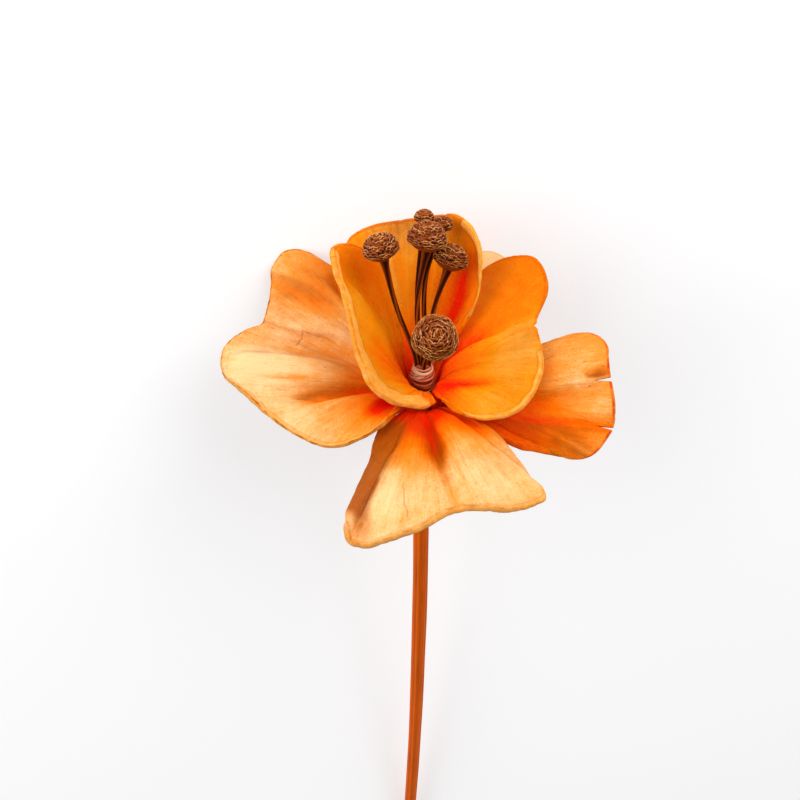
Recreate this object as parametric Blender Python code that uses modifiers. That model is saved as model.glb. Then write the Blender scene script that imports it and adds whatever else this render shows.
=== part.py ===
"""Dried pomegranate flower on a cut stem, lying down.

Seven dyed husk petals in two rings stand round a bound bunch of six dried bud heads on thin stalks.
The flower is drawn in its own frame, with Z up the stem and the front petal towards -Y, in millimetres and
degrees. An empty then lays it down: the stem's cut end and two back petals rest on the ground, Z = 0.
"""
import math

import bmesh
import bpy
import numpy as np
from mathutils import Matrix, Vector

MM = 0.001
WELD = 0.00001             # points closer than this are one (m)

# Husk petals
SHEET = 1.1                # thickness of the dried husk
ALONG = 10                 # steps from the foot of a petal to its rim
ACROSS = 21                # steps along its rim
CLAW_STEPS = 1             # of ALONG, the steps that stand against the stem
LEAD_SHARE = 0.3           # share of its reach over which a petal keeps rising, up to its ring's lead
ARRIVE_SHARE = 0.33        # share of its reach over which a rib straightens towards its rim point
FOOT_LIFT = 0.6            # share of a rib's bow near the foot
RIM_READINGS = 400         # readings of a rim, from which its steps are spaced evenly
LEAST_STEP = 0.015         # keeps some columns where the rim hardly moves
OUTER_RING = {"apex": -1.5, "root": (3.1, -8.5), "neck": (5.1, -2.2), "lead": 6.0}
FRONT_RING = {"apex": -1.5, "root": (3.4, -8.5), "neck": (5.3, -0.4), "lead": 3.0}
INNER_RING = {"apex": 1.5, "root": (3.0, -4.0), "neck": (3.75, 3.4), "lead": 6.0}

# A petal's ribs run from its foot to points on its rim. Each is (heading, rise, length, curl, bow): where the
# rim point lies as seen from the ring's apex, how much more steeply than that the rib arrives, and how far
# its middle is lifted (mm).
PETALS = {
    "petal_outer_left": {
        "ring": OUTER_RING, "foot": (126, 221), "dye": "apricot",
        "ribs": [
            (126, 27, 33.5, 0, 1), (129, 26, 38, 5, 1), (133, 25, 42.5, 8, 1), (137, 23, 44, 8, 1.5),
            (142, 19, 42.5, 5, 2.5), (147, 16, 39.5, 0, 1.5), (152, 9.5, 38.5, 0, -0.5), (158, 8, 41, -5, 0),
            (166, 7, 42.5, -5, 2), (174, 5, 41, -5, 2.5), (182, 4, 35.5, 0, -1), (191, 2, 31, -10, 0),
            (202, -0.5, 26.5, -15, 2), (214, -2, 22.5, -15, 3), (224, 3, 19, -10, 2.5), (232, 11.5, 14, -5, 1.5),
            (235, 28, 8, 0, 1)]},
    "petal_outer_front": {
        "ring": FRONT_RING, "foot": (-119, -51), "dye": "apricot",
        "ribs": [
            (-134, 8.5, 9.5, 0, -0.3), (-131, 3, 13.5, 0, -0.8), (-121, 1.5, 20, 0, -0.3), (-115, 2, 30, 0, 0),
            (-112, 3.5, 38, 0, 0), (-110, 0, 39.5, -5, 0.5), (-105, -0.5, 39.5, -8, 2.5), (-99, 2, 38.5, -5, 2.5), (-92, 4.5, 37, 0, 1),
            (-86, 7, 35.5, 0, -0.5), (-80, 8.5, 35, 0, -1.5), (-72, 7.5, 35.5, -5, 1), (-65, 5, 36, -8, 2.5),
            (-58, 4, 36.5, -8, 2), (-54, 5.5, 37, -5, 1), (-51.5, 6, 31.5, 0, 0), (-47.5, 6.6, 26, 0, 0),
            (-43.5, 9, 21, 0, 0), (-42, 13.5, 15.8, 0, 0)]},
    "petal_outer_right": {
        "ring": OUTER_RING, "foot": (-44, 18), "dye": "orange",
        "ribs": [
            (-35, 0, 23.5, 0, -1.4), (-26, -4.5, 29, 0, 0), (-25, -4.5, 33, -5, 0.5), (-23, -1.5, 36, -5, 1),
            (-20, 2, 37.5, 0, 1), (-16, 5, 38.5, 0, 0), (-12, 9.5, 38.5, 0, -1), (-7, 14, 38, 0, 0),
            (-2, 17.5, 38, -5, 1), (3, 19, 38.5, -5, 1.5), (7, 21, 37.5, -5, 1), (10, 22, 34.5, 0, 0.5),
            (12, 22, 30.5, 0, 0), (13, 22, 27, 0, 0)]},
    "petal_outer_back": {
        "ring": OUTER_RING, "foot": (27, 118), "dye": "apricot",
        "ribs": [
            (38, 24, 22, 0, 0), (43, 25, 29, 0, 0), (49, 26, 34, 0, 0.5), (56, 26, 36.5, 3, 1), (63, 25, 37.5, 3, 1),
            (70, 24, 36.5, 3, 0.5), (78, 23, 34, 0, 0), (86, 22, 30, 0, 0), (92, 22, 25, 0, 0)]},
    "petal_inner_right": {
        "ring": INNER_RING, "foot": (-56, 30), "dye": "orange",
        "ribs": [
            (-57, 20, 7.5, 0, 0), (-53, 13, 11.5, 0, 0.5), (-47, 9, 15.5, -15, 1), (-38, 9, 19, -20, 1.5),
            (-29, 10, 21.5, -20, 1), (-17, 14, 23.5, -20, 0), (-7, 19.5, 25, -15, 0), (0, 24.5, 25.5, -10, 1),
            (7, 30.5, 26, -10, 1.5), (12, 33, 27.5, -5, 0), (18, 36, 31.5, -5, -1.5), (24, 38, 33.5, -8, -2),
            (31, 41, 34.5, -8, -2), (39, 41.5, 33, -5, -2), (48, 40, 30.5, 0, -2), (56, 36, 27.5, 0, -2)]},
    "petal_inner_back": {
        "ring": INNER_RING, "foot": (51, 137), "dye": "orange",
        "ribs": [
            (29, 54.5, 16, 0, 0), (32, 55, 22, 0, 0), (38, 59.5, 28, 5, -1), (45, 62, 32, 5, -1.5),
            (54, 64, 34.5, 5, -2), (67, 62.5, 35.5, 0, -2), (80, 55, 35, 0, -2), (92, 51.5, 34.5, 0, -2),
            (102, 44, 35, 0, -2), (112, 40, 35.5, 0, -1.5), (121, 36.5, 35, 0, -1), (124, 32, 33, 0, 0)]},
    "petal_inner_left": {
        "ring": INNER_RING, "foot": (145, 291), "dye": "apricot",
        "ribs": [
            (128, 66, 29.5, 0, 0), (135, 60, 31, 0, -1), (145, 58, 33.5, 0, -2), (156, 57, 34.5, -10, -2),
            (166, 58, 33, -10, -2), (176, 57, 28.5, -10, -1.5), (188, 52, 23, -10, -1), (203, 42, 18, -10, -0.5),
            (218, 31, 15, -20, 0), (234, 22, 11.5, -30, 0), (252, 16, 8.5, -40, 0.5), (270, 9, 6.8, -40, 0.5),
            (283, 11, 6.5, -40, 0.5), (293, 18, 7, -30, 0.5)]},
}

# Bud heads on their stalks: heading and radius of the stalk's foot in the binding, a point that the stalk
# bends through, the head's middle, and its diameter.
STAMENS = {
    "stamen_left": ((188, 1.2), (-4.9, 2.0, 20.0), (-7.9, 4.2, 32.2), 6.7),
    "stamen_middle": ((0, 0.0), (-1.2, 1.5, 19.0), (0.6, 5.6, 33.5), 7.3),
    "stamen_right": ((-8, 1.2), (1.9, 3.4, 18.0), (5.1, 7.4, 27.8), 6.6),
    "stamen_front": ((-80, 1.2), (0.8, -5.5, 16.5), (1.7, -13.3, 25.5), 8.0),
    "stamen_back_left": ((125, 1.2), (-1.1, 5.3, 22.0), (0.1, 12.1, 34.0), 3.5),
    "stamen_back_right": ((62, 1.2), (0.8, 8.4, 25.0), (3.7, 12.0, 32.6), 3.4),
}
STALK = 0.9                # diameter of a stalk
STALK_FOOT = -0.2          # height of its lower end
STALK_EXIT = 8.9           # height where it leaves the binding
STALK_STEPS = 12
STALK_SIDES = 8
STALK_FLARE = 1.6          # how much wider a stalk is where it meets its head
STALK_SHORT_OF_MIDDLE = 0.12   # where it ends inside the head, in the head's diameters
HEAD_TOP = 0.92            # height of the head's dome, in its radii
HEAD_UNDERSIDE = 0.55      # depth of its flatter underside, in its radii
SCALE_LIFT = 0.035         # how far a scale stands out, in radii
HEAD_SEGMENTS = 22
HEAD_RINGS = 12
HEAD_SHARP = 60.0          # edges steeper than this are drawn sharp on heads and stalks

# Wound fibre round the stalks
BINDING_BOTTOM, BINDING_TOP = -0.6, 8.9
BINDING_RADIUS = 2.65
BINDING_END_RADIUS = 2.3
BINDING_HOLE = 2.0
WINDINGS = 6
WINDING_DEPTH = 0.16
BINDING_STEPS = 20

# Cut stem
STEM_RADIUS = 1.85
STEM_TOP_RADIUS = 1.75
STEM_SIDES = 12
STEM_SHARP = 50.0          # edges steeper than this are drawn sharp on the stem
# How far the stem wanders sideways at depths below the bloom
STEM_LINE = [(-1.0, 0.0), (-30.0, 0.25), (-60.0, 0.45), (-90.0, 0.3), (-120.0, 0.0), (-150.0, -0.6),
             (-175.0, -1.3), (-200.0, -2.1)]

# How the flower lies
LAY_TILT = 7.6             # slope of the stem up to the bloom
LAY_ROLL = -5.6            # turn about the stem that brings two back petals down together
PRESSED = 0.5              # how much of the lowest rims is flat against the ground
GROUND_BLOCK = 400.0

COLOURS = {
    "apricot": ((0.87, 0.42, 0.13), 0.62),
    "orange": ((0.86, 0.27, 0.04), 0.6),
    "bud": ((0.24, 0.11, 0.045), 0.5),
    "fibre": ((0.62, 0.36, 0.2), 0.7),
    "stem": ((0.5, 0.13, 0.01), 0.65),
}


def clear_scene():
    for obj in list(bpy.data.objects):
        bpy.data.objects.remove(obj)


def new_collection(name):
    group = bpy.data.collections.new(name)
    bpy.context.scene.collection.children.link(group)
    return group


def material(name):
    """One Principled material for a dye or a natural finish."""
    colour, roughness = COLOURS[name]
    mat = bpy.data.materials.get(name) or bpy.data.materials.new(name)
    mat.use_nodes = True
    shader = mat.node_tree.nodes["Principled BSDF"]
    shader.inputs["Base Color"].default_value = (*colour, 1.0)
    shader.inputs["Roughness"].default_value = roughness
    shader.inputs["Metallic"].default_value = 0.0
    return mat


def add_object(name, mesh, group, mat=None):
    obj = bpy.data.objects.new(name, mesh)
    group.objects.link(obj)
    if mat:
        mesh.materials.clear()
        mesh.materials.append(mat)
    return obj


def toward(heading, rise):
    """Unit vectors at a heading round the stem and a rise above level."""
    h, r = np.radians(heading), np.radians(rise)
    return np.stack([np.cos(r) * np.cos(h), np.cos(r) * np.sin(h), np.sin(r)], axis=-1)


def smooth_through(knots, values, at):
    """Cubic curve through the values, its slope at each knot a weighted mean of the two beside it."""
    gap = np.diff(knots)
    steep = np.diff(values, axis=0) / gap[:, None]
    inner = (steep[:-1] * gap[1:, None] + steep[1:] * gap[:-1, None]) / (gap[1:] + gap[:-1])[:, None]
    slope = np.concatenate([steep[:1], inner, steep[-1:]])
    k = np.clip(np.searchsorted(knots, at, "right") - 1, 0, len(gap) - 1)
    g = gap[k][:, None]
    t = (at - knots[k])[:, None] / g
    return ((1 + 2 * t) * (1 - t) ** 2 * values[k] + t * (1 - t) ** 2 * g * slope[k]
            + t * t * (3 - 2 * t) * values[k + 1] + t * t * (t - 1) * g * slope[k + 1])


def rim_samples(ribs, apex, count):
    """Ribs spaced evenly along the rim, read from a smooth curve through the given ones."""
    tips = apex + ribs[:, 2:3] * toward(ribs[:, 0], ribs[:, 1])
    steps = np.sqrt(np.linalg.norm(np.diff(tips, axis=0), axis=1))
    knots = np.concatenate([[0.0], np.cumsum(steps)]) / steps.sum()
    fine = np.linspace(0.0, 1.0, RIM_READINGS)
    dense = smooth_through(knots, ribs, fine)
    rim = apex + dense[:, 2:3] * toward(dense[:, 0], dense[:, 1])
    run = np.concatenate([[0.0], np.cumsum(np.linalg.norm(np.diff(rim, axis=0), axis=1) + LEAST_STEP)])
    share = np.interp(np.linspace(0.0, run[-1], count), run, fine)
    return share, smooth_through(knots, ribs, share)


def ring_point(heading, radius, height):
    h = np.radians(heading)
    return np.stack([radius * np.cos(h), radius * np.sin(h), np.full_like(h, height)], axis=-1)


def petal_grid(plan):
    """Points of a petal's middle surface: a claw against the stem, then a cubic arc along each rib."""
    ring = plan["ring"]
    apex = np.array([0.0, 0.0, ring["apex"]])
    share, ribs = rim_samples(np.array(plan["ribs"], float), apex, ACROSS + 1)
    heading, rise, length, curl, bow = ribs.T
    tip = apex + length[:, None] * toward(heading, rise)
    side = plan["foot"][0] + (plan["foot"][1] - plan["foot"][0]) * share
    foot = ring_point(side, *ring["root"])
    neck = ring_point(side, *ring["neck"])
    reach = np.linalg.norm(tip - neck, axis=1, keepdims=True)
    rising = (neck - foot) / np.linalg.norm(neck - foot, axis=1, keepdims=True)
    lift = toward(heading, rise + 90.0) * bow[:, None]
    hold = neck + rising * np.minimum(reach * LEAD_SHARE, ring["lead"]) + lift * FOOT_LIFT
    arrive = tip - toward(heading, rise + curl) * reach * ARRIVE_SHARE + lift
    t = np.linspace(0.0, 1.0, ALONG + 1 - CLAW_STEPS)[:, None, None]
    blade = ((1 - t) ** 3 * neck + 3 * (1 - t) ** 2 * t * hold
             + 3 * (1 - t) * t ** 2 * arrive + t ** 3 * tip)
    s = np.linspace(0.0, 1.0, CLAW_STEPS + 1)[:-1, None, None]
    return np.concatenate([foot + (neck - foot) * s, blade])


def grid_mesh(name, grid):
    """Open sheet of triangles through a grid of points in millimetres."""
    rows, columns = grid.shape[:2]
    sheet = bmesh.new()
    verts = [[sheet.verts.new(Vector(point) * MM) for point in row] for row in grid]
    for i in range(rows - 1):
        for j in range(columns - 1):
            a, b, c, d = verts[i][j], verts[i + 1][j], verts[i + 1][j + 1], verts[i][j + 1]
            sheet.faces.new((a, b, c))
            sheet.faces.new((a, c, d))
    mesh = bpy.data.meshes.new(name)
    sheet.to_mesh(mesh)
    sheet.free()
    return mesh


def make_petal(name, plan, group, frame):
    """Husk petal: an open sheet with Solidify. Both faces are split into triangles alike."""
    obj = add_object(name, grid_mesh(name, petal_grid(plan)), group, material(plan["dye"]))
    obj.parent = frame
    obj.data.shade_smooth()
    skin = obj.modifiers.new("Husk", "SOLIDIFY")
    skin.thickness = SHEET * MM
    skin.offset = 0.0
    skin.use_even_offset = False
    return obj


def curve_tube(name, points, radii, sides):
    """Mesh of a round tube with filled ends along the points, in millimetres."""
    curve = bpy.data.curves.new(name, "CURVE")
    curve.dimensions = "3D"
    curve.bevel_depth = MM
    curve.bevel_resolution = sides // 4 - 1
    curve.use_fill_caps = True
    line = curve.splines.new("POLY")
    line.points.add(len(points) - 1)
    for spot, point, radius in zip(line.points, points, radii):
        spot.co = (*(Vector(point) * MM), 1.0)
        spot.radius = radius
    guide = bpy.data.objects.new(name, curve)
    bpy.context.scene.collection.objects.link(guide)
    mesh = bpy.data.meshes.new_from_object(guide.evaluated_get(bpy.context.evaluated_depsgraph_get()))
    bpy.data.objects.remove(guide)
    shape = bmesh.new()
    shape.from_mesh(mesh)
    bmesh.ops.remove_doubles(shape, verts=shape.verts, dist=WELD)
    bmesh.ops.recalc_face_normals(shape, faces=shape.faces)
    shape.to_mesh(mesh)
    shape.free()
    return mesh


def stalk_path(foot, bend, middle):
    """Points of a stalk: straight up through the binding, then a smooth bend to the head."""
    root = ring_point(np.array([float(foot[0])]), foot[1], STALK_FOOT)[0]
    leave = root + [0.0, 0.0, STALK_EXIT - STALK_FOOT]
    via = np.array([root, leave, bend, middle])
    knots = np.concatenate([[0.0], np.cumsum(np.linalg.norm(np.diff(via, axis=0), axis=1))])
    above = np.linspace(knots[1], knots[-1], STALK_STEPS - 1)
    return np.concatenate([via[:1], smooth_through(knots, via, above)])


def head_mesh(name, middle, axis, diameter):
    """Bud head: a dome with a flatter underside, its scales raised in staggered rows."""
    shape = bmesh.new()
    bmesh.ops.create_uvsphere(shape, u_segments=HEAD_SEGMENTS, v_segments=HEAD_RINGS, radius=1.0)
    turn = Vector((0, 0, 1)).rotation_difference(Vector(axis)).to_matrix()
    radius = diameter / 2
    for vert in shape.verts:
        polar = math.acos(max(-1.0, min(1.0, vert.co.z)))
        around = math.atan2(vert.co.y, vert.co.x)
        row = round(polar * HEAD_RINGS / math.pi)
        column = round(around * HEAD_SEGMENTS / (2 * math.pi))
        at_pole = row in (0, HEAD_RINGS)
        lift = 0.0 if at_pole else SCALE_LIFT * (1 if (row + column) % 2 else -1)
        tall = HEAD_TOP if vert.co.z > 0 else HEAD_UNDERSIDE
        spot = Vector((vert.co.x, vert.co.y, vert.co.z * tall)) * radius * (1 + lift)
        vert.co = (turn @ spot + Vector(middle)) * MM
    mesh = bpy.data.meshes.new(name)
    shape.to_mesh(mesh)
    shape.free()
    return mesh


def union(name, meshes, group, mat):
    """One closed body from overlapping closed meshes: a Boolean union on their collection, applied."""
    first = add_object(name, meshes[0], group)
    pieces = new_collection(name + "_pieces")
    for mesh in meshes[1:]:
        add_object(name + "_piece", mesh, pieces)
    join = first.modifiers.new("Join", "BOOLEAN")
    join.operation = "UNION"
    join.operand_type = "COLLECTION"
    join.collection = pieces
    bpy.context.view_layer.update()
    joined = bpy.data.meshes.new_from_object(first.evaluated_get(bpy.context.evaluated_depsgraph_get()))
    first.modifiers.clear()
    first.data = joined
    joined.name = name
    joined.materials.clear()
    joined.materials.append(mat)
    joined.shade_smooth()
    joined.set_sharp_from_angle(angle=math.radians(HEAD_SHARP))
    for piece in list(pieces.objects):
        bpy.data.objects.remove(piece)
    bpy.data.collections.remove(pieces)
    return first


def make_stamen(name, plan, group, frame):
    """Bud head grown on its thin stalk, one body."""
    foot, bend, middle, diameter = plan
    path = stalk_path(foot, bend, middle)
    axis = (path[-1] - path[-2]) / np.linalg.norm(path[-1] - path[-2])
    path[-1] -= axis * diameter * STALK_SHORT_OF_MIDDLE
    radii = np.full(len(path), STALK / 2)
    radii[-1] *= STALK_FLARE
    head = head_mesh(name, middle, axis, diameter)
    stalk = curve_tube(name + "_stalk", path, radii, STALK_SIDES)
    obj = union(name, [head, stalk], group, material("bud"))
    obj.parent = frame
    return obj


def make_binding(group, frame):
    """Fibre wound round the stalks: a turned ring, its windings as ripples of the profile."""
    turns = 2 * WINDINGS
    heights = np.linspace(BINDING_TOP, BINDING_BOTTOM, turns + 1)
    belly = np.sin(np.linspace(0.0, np.pi, turns + 1))
    ripple = np.where(np.arange(turns + 1) % 2, WINDING_DEPTH, 0.0)
    outer = BINDING_END_RADIUS + (BINDING_RADIUS - BINDING_END_RADIUS) * belly + ripple * (belly > 0.1)
    profile = [(BINDING_HOLE, BINDING_TOP), *zip(outer, heights), (BINDING_HOLE, BINDING_BOTTOM)]
    line = bmesh.new()
    spots = [line.verts.new((x * MM, 0.0, z * MM)) for x, z in profile]
    for a, b in zip(spots, spots[1:] + spots[:1]):
        line.edges.new((a, b))
    mesh = bpy.data.meshes.new("binding")
    line.to_mesh(mesh)
    line.free()
    obj = add_object("binding", mesh, group, material("fibre"))
    obj.parent = frame
    turn = obj.modifiers.new("Turn", "SCREW")
    turn.angle = 2 * math.pi
    turn.steps = BINDING_STEPS
    turn.render_steps = BINDING_STEPS
    turn.use_merge_vertices = True
    turn.merge_threshold = WELD
    turn.use_smooth_shade = True
    return obj


def make_stem(group, frame):
    """Cut stem: a round tube along a slightly wandering line, a little slimmer inside the bloom."""
    points = [(side, 0.0, height) for height, side in STEM_LINE]
    radii = [STEM_TOP_RADIUS] + [STEM_RADIUS] * (len(points) - 1)
    mesh = curve_tube("stem", points, radii, STEM_SIDES)
    obj = add_object("stem", mesh, group, material("stem"))
    obj.parent = frame
    mesh.shade_smooth()
    mesh.set_sharp_from_angle(angle=math.radians(STEM_SHARP))
    return obj


def lay_down(frame):
    """Turns the frame so that the stem lies along Y, its bloom at +Y, the camera's side up."""
    on_back = Matrix.Rotation(math.radians(-90.0), 4, "X")
    roll = Matrix.Rotation(math.radians(LAY_ROLL), 4, "Z")
    tilt = Matrix.Rotation(math.radians(LAY_TILT), 4, "X")
    frame.matrix_world = tilt @ on_back @ roll


def world_box(objects):
    """Lowest and highest corners of the evaluated objects."""
    graph = bpy.context.evaluated_depsgraph_get()
    spots = []
    for obj in objects:
        ready = obj.evaluated_get(graph)
        mesh = ready.to_mesh()
        spots += [ready.matrix_world @ vert.co for vert in mesh.vertices]
        ready.to_mesh_clear()
    low = Vector([min(spot[k] for spot in spots) for k in range(3)])
    high = Vector([max(spot[k] for spot in spots) for k in range(3)])
    return low, high


def press_flat(objects, group):
    """Flat spots where the lowest rims lie: a ground block cuts away what would sink in."""
    size = GROUND_BLOCK * MM
    shape = bmesh.new()
    bmesh.ops.create_cube(shape, size=size)
    bmesh.ops.translate(shape, verts=shape.verts, vec=(0.0, 0.0, -size / 2))
    mesh = bpy.data.meshes.new("ground_block")
    shape.to_mesh(mesh)
    shape.free()
    block = add_object("ground_block", mesh, group)
    block.display_type = "WIRE"
    block.hide_render = True
    for obj in objects:
        cut = obj.modifiers.new("Flat", "BOOLEAN")
        cut.operation = "DIFFERENCE"
        cut.object = block


def main():
    clear_scene()
    group = new_collection("dried_pomegranate_flower")
    cutters = new_collection("cutters")
    frame = bpy.data.objects.new("flower_frame", None)
    group.objects.link(frame)
    petals = {name: make_petal(name, plan, group, frame) for name, plan in PETALS.items()}
    stamens = [make_stamen(name, plan, group, frame) for name, plan in STAMENS.items()]
    binding = make_binding(group, frame)
    stem = make_stem(group, frame)

    lay_down(frame)
    bpy.context.view_layer.update()
    low, high = world_box([*petals.values(), *stamens, binding, stem])
    frame.location = (-(low.x + high.x) / 2, -(low.y + high.y) / 2, -low.z - PRESSED * MM)
    bpy.context.view_layer.update()
    press_flat([petals["petal_outer_left"], petals["petal_outer_back"], stem], cutters)


main()
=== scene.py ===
"""Looks of a dried pomegranate flower that lies on its stem: dyed husk petals, bud heads, binding, stem.

Every surface is worked out in the flower's own frame, in millimetres and degrees, with Z up the stem and the
front petal towards -Y. The lay of the flower then turns it onto the ground.
"""
import math
from functools import partial

import bpy
import numpy as np
from bpy.props import FloatProperty, FloatVectorProperty, PointerProperty
from mathutils import Matrix, Vector


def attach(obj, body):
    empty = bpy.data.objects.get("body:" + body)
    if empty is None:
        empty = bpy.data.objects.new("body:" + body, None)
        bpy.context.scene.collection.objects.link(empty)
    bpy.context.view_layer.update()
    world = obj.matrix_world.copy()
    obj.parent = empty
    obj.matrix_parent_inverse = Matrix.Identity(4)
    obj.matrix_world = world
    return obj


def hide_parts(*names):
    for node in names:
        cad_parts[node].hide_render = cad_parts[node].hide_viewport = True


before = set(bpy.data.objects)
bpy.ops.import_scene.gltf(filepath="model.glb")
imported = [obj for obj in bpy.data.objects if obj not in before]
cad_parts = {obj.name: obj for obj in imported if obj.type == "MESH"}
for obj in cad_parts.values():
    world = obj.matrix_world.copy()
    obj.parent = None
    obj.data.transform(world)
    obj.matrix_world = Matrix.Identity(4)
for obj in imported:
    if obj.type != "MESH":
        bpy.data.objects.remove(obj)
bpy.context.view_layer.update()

bl_info = {
    "name": "Dried Pomegranate Flower",
    "version": (1, 0, 0),
    "blender": (4, 5, 0),
    "location": "View3D > Sidebar > Dried Flower",
    "description": "Dyed husk petals, scaly bud heads, a fibre binding and a cut stem",
    "category": "Add Mesh",
}

MM = 0.001
FULL_TURN = 2.0 * math.pi

# Lay of the flower on the ground, and where its own origin then is (mm)
LAY_TILT = 7.6
LAY_ROLL = -5.6
LAY_PLACE = (2.007, 80.518, 28.03)
GROUND_CLEARANCE = 0.03

# Camera, in the flower's frame: how steeply it looks down along the stem, how far it is from the flower's
# origin, and where the origin is seen, as a share of the picture's width from its middle
CAMERA_PITCH = 42.0
CAMERA_DISTANCE = 202.0
CAMERA_AIM = (0.0275, 0.005)
CAMERA_LENS = 45.0
CAMERA_SENSOR = 36.0
BLOOM = (0.0, 0.09, 0.03)  # what the lights are aimed at, on the ground's own axes (m)

# Husk petals, as in the frame: the rings that they stand in, with the height that their ribs are read from
# and the radius and height of foot and neck
LEAD_SHARE = 0.3           # how far a rib goes on from the neck before it bends, as a share of its chord
ARRIVE_SHARE = 0.33        # how far before its tip it has the tip's direction
FOOT_LIFT = 0.6            # share of its bow near the neck
RIM_READINGS = 400         # points at which the rim's curve is read
LEAST_STEP = 0.015         # least step between two of them (mm)
OUTER_RING = {"apex": -1.5, "root": (3.1, -8.5), "neck": (5.1, -2.2), "lead": 6.0}
FRONT_RING = {"apex": -1.5, "root": (3.4, -8.5), "neck": (5.3, -0.4), "lead": 3.0}
INNER_RING = {"apex": 1.5, "root": (3.0, -4.0), "neck": (3.75, 3.4), "lead": 6.0}

# Each petal's foot goes from one heading to another, and its ribs to points on its rim: heading, rise,
# length, curl at the tip and bow
PETALS = {
    "petal_outer_left": {
        "ring": OUTER_RING, "foot": (126, 221), "slot": "husk_apricot", "ribs": [
            (126, 27, 33.5, 0, 1), (129, 26, 38, 5, 1), (133, 25, 42.5, 8, 1), (137, 23, 44, 8, 1.5),
            (142, 19, 42.5, 5, 2.5), (147, 16, 39.5, 0, 1.5), (152, 9.5, 38.5, 0, -0.5), (158, 8, 41, -5, 0),
            (166, 7, 42.5, -5, 2), (174, 5, 41, -5, 2.5), (182, 4, 35.5, 0, -1), (191, 2, 31, -10, 0),
            (202, -0.5, 26.5, -15, 2), (214, -2, 22.5, -15, 3), (224, 3, 19, -10, 2.5),
            (232, 11.5, 14, -5, 1.5), (235, 28, 8, 0, 1)]},
    "petal_outer_front": {
        "ring": FRONT_RING, "foot": (-119, -51), "slot": "husk_apricot", "ribs": [
            (-134, 8.5, 9.5, 0, -0.3), (-131, 3, 13.5, 0, -0.8), (-121, 1.5, 20, 0, -0.3),
            (-115, 2, 30, 0, 0), (-112, 3.5, 38, 0, 0), (-110, 0, 39.5, -5, 0.5),
            (-105, -0.5, 39.5, -8, 2.5), (-99, 2, 38.5, -5, 2.5), (-92, 4.5, 37, 0, 1),
            (-86, 7, 35.5, 0, -0.5), (-80, 8.5, 35, 0, -1.5), (-72, 7.5, 35.5, -5, 1), (-65, 5, 36, -8, 2.5),
            (-58, 4, 36.5, -8, 2), (-54, 5.5, 37, -5, 1), (-51.5, 6, 31.5, 0, 0), (-47.5, 6.6, 26, 0, 0),
            (-43.5, 9, 21, 0, 0), (-42, 13.5, 15.8, 0, 0)]},
    "petal_outer_right": {
        "ring": OUTER_RING, "foot": (-44, 18), "slot": "husk_orange", "ribs": [
            (-35, 0, 23.5, 0, -1.4), (-26, -4.5, 29, 0, 0), (-25, -4.5, 33, -5, 0.5), (-23, -1.5, 36, -5, 1),
            (-20, 2, 37.5, 0, 1), (-16, 5, 38.5, 0, 0), (-12, 9.5, 38.5, 0, -1), (-7, 14, 38, 0, 0),
            (-2, 17.5, 38, -5, 1), (3, 19, 38.5, -5, 1.5), (7, 21, 37.5, -5, 1), (10, 22, 34.5, 0, 0.5),
            (12, 22, 30.5, 0, 0), (13, 22, 27, 0, 0)]},
    "petal_outer_back": {
        "ring": OUTER_RING, "foot": (27, 118), "slot": "husk_apricot", "ribs": [
            (38, 24, 22, 0, 0), (43, 25, 29, 0, 0), (49, 26, 34, 0, 0.5), (56, 26, 36.5, 3, 1),
            (63, 25, 37.5, 3, 1), (70, 24, 36.5, 3, 0.5), (78, 23, 34, 0, 0), (86, 22, 30, 0, 0),
            (92, 22, 25, 0, 0)]},
    "petal_inner_right": {
        "ring": INNER_RING, "foot": (-56, 30), "slot": "husk_orange", "ribs": [
            (-57, 20, 7.5, 0, 0), (-53, 13, 11.5, 0, 0.5), (-47, 9, 15.5, -15, 1), (-38, 9, 19, -20, 1.5),
            (-29, 10, 21.5, -20, 1), (-17, 14, 23.5, -20, 0), (-7, 19.5, 25, -15, 0),
            (0, 24.5, 25.5, -10, 1), (7, 30.5, 26, -10, 1.5), (12, 33, 27.5, -5, 0),
            (18, 36, 31.5, -5, -1.5), (24, 38, 33.5, -8, -2), (31, 41, 34.5, -8, -2), (39, 41.5, 33, -5, -2),
            (48, 40, 30.5, 0, -2), (56, 36, 27.5, 0, -2)]},
    "petal_inner_back": {
        "ring": INNER_RING, "foot": (51, 137), "slot": "husk_orange", "ribs": [
            (29, 54.5, 16, 0, 0), (32, 55, 22, 0, 0), (38, 59.5, 28, 5, -1), (45, 62, 32, 5, -1.5),
            (54, 64, 34.5, 5, -2), (67, 62.5, 35.5, 0, -2), (80, 55, 35, 0, -2), (92, 51.5, 34.5, 0, -2),
            (102, 44, 35, 0, -2), (112, 40, 35.5, 0, -1.5), (121, 36.5, 35, 0, -1), (124, 32, 33, 0, 0)]},
    "petal_inner_left": {
        "ring": INNER_RING, "foot": (145, 291), "slot": "husk_apricot", "ribs": [
            (128, 66, 29.5, 0, 0), (135, 60, 31, 0, -1), (145, 58, 33.5, 0, -2), (156, 57, 34.5, -10, -2),
            (166, 58, 33, -10, -2), (176, 57, 28.5, -10, -1.5), (188, 52, 23, -10, -1),
            (203, 42, 18, -10, -0.5), (218, 31, 15, -20, 0), (234, 22, 11.5, -30, 0),
            (252, 16, 8.5, -40, 0.5), (270, 9, 6.8, -40, 0.5), (283, 11, 6.5, -40, 0.5),
            (293, 18, 7, -30, 0.5)]},
}


def fold(path, height, widths, dye=0.0, power=2.0, over_rim=False, shade=(0.0, 0.0)):
    """A ridge or valley along a path of (across, along) shares in percent. The widths are of its sides
    towards larger and smaller across, in mm, and the shades are how much painted shade those sides get. It
    fades at its ends, unless it runs on over the rim. Dye is how much redder its bottom is, and below 0 how
    much paler. This is dye, and partly painted shade and reflected light in valleys and a painted highlight
    on ridges."""
    return {"path": np.array(path) / 100.0, "height": height, "widths": widths, "dye": dye, "power": power,
            "over_rim": over_rim, "shade": shade}


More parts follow.
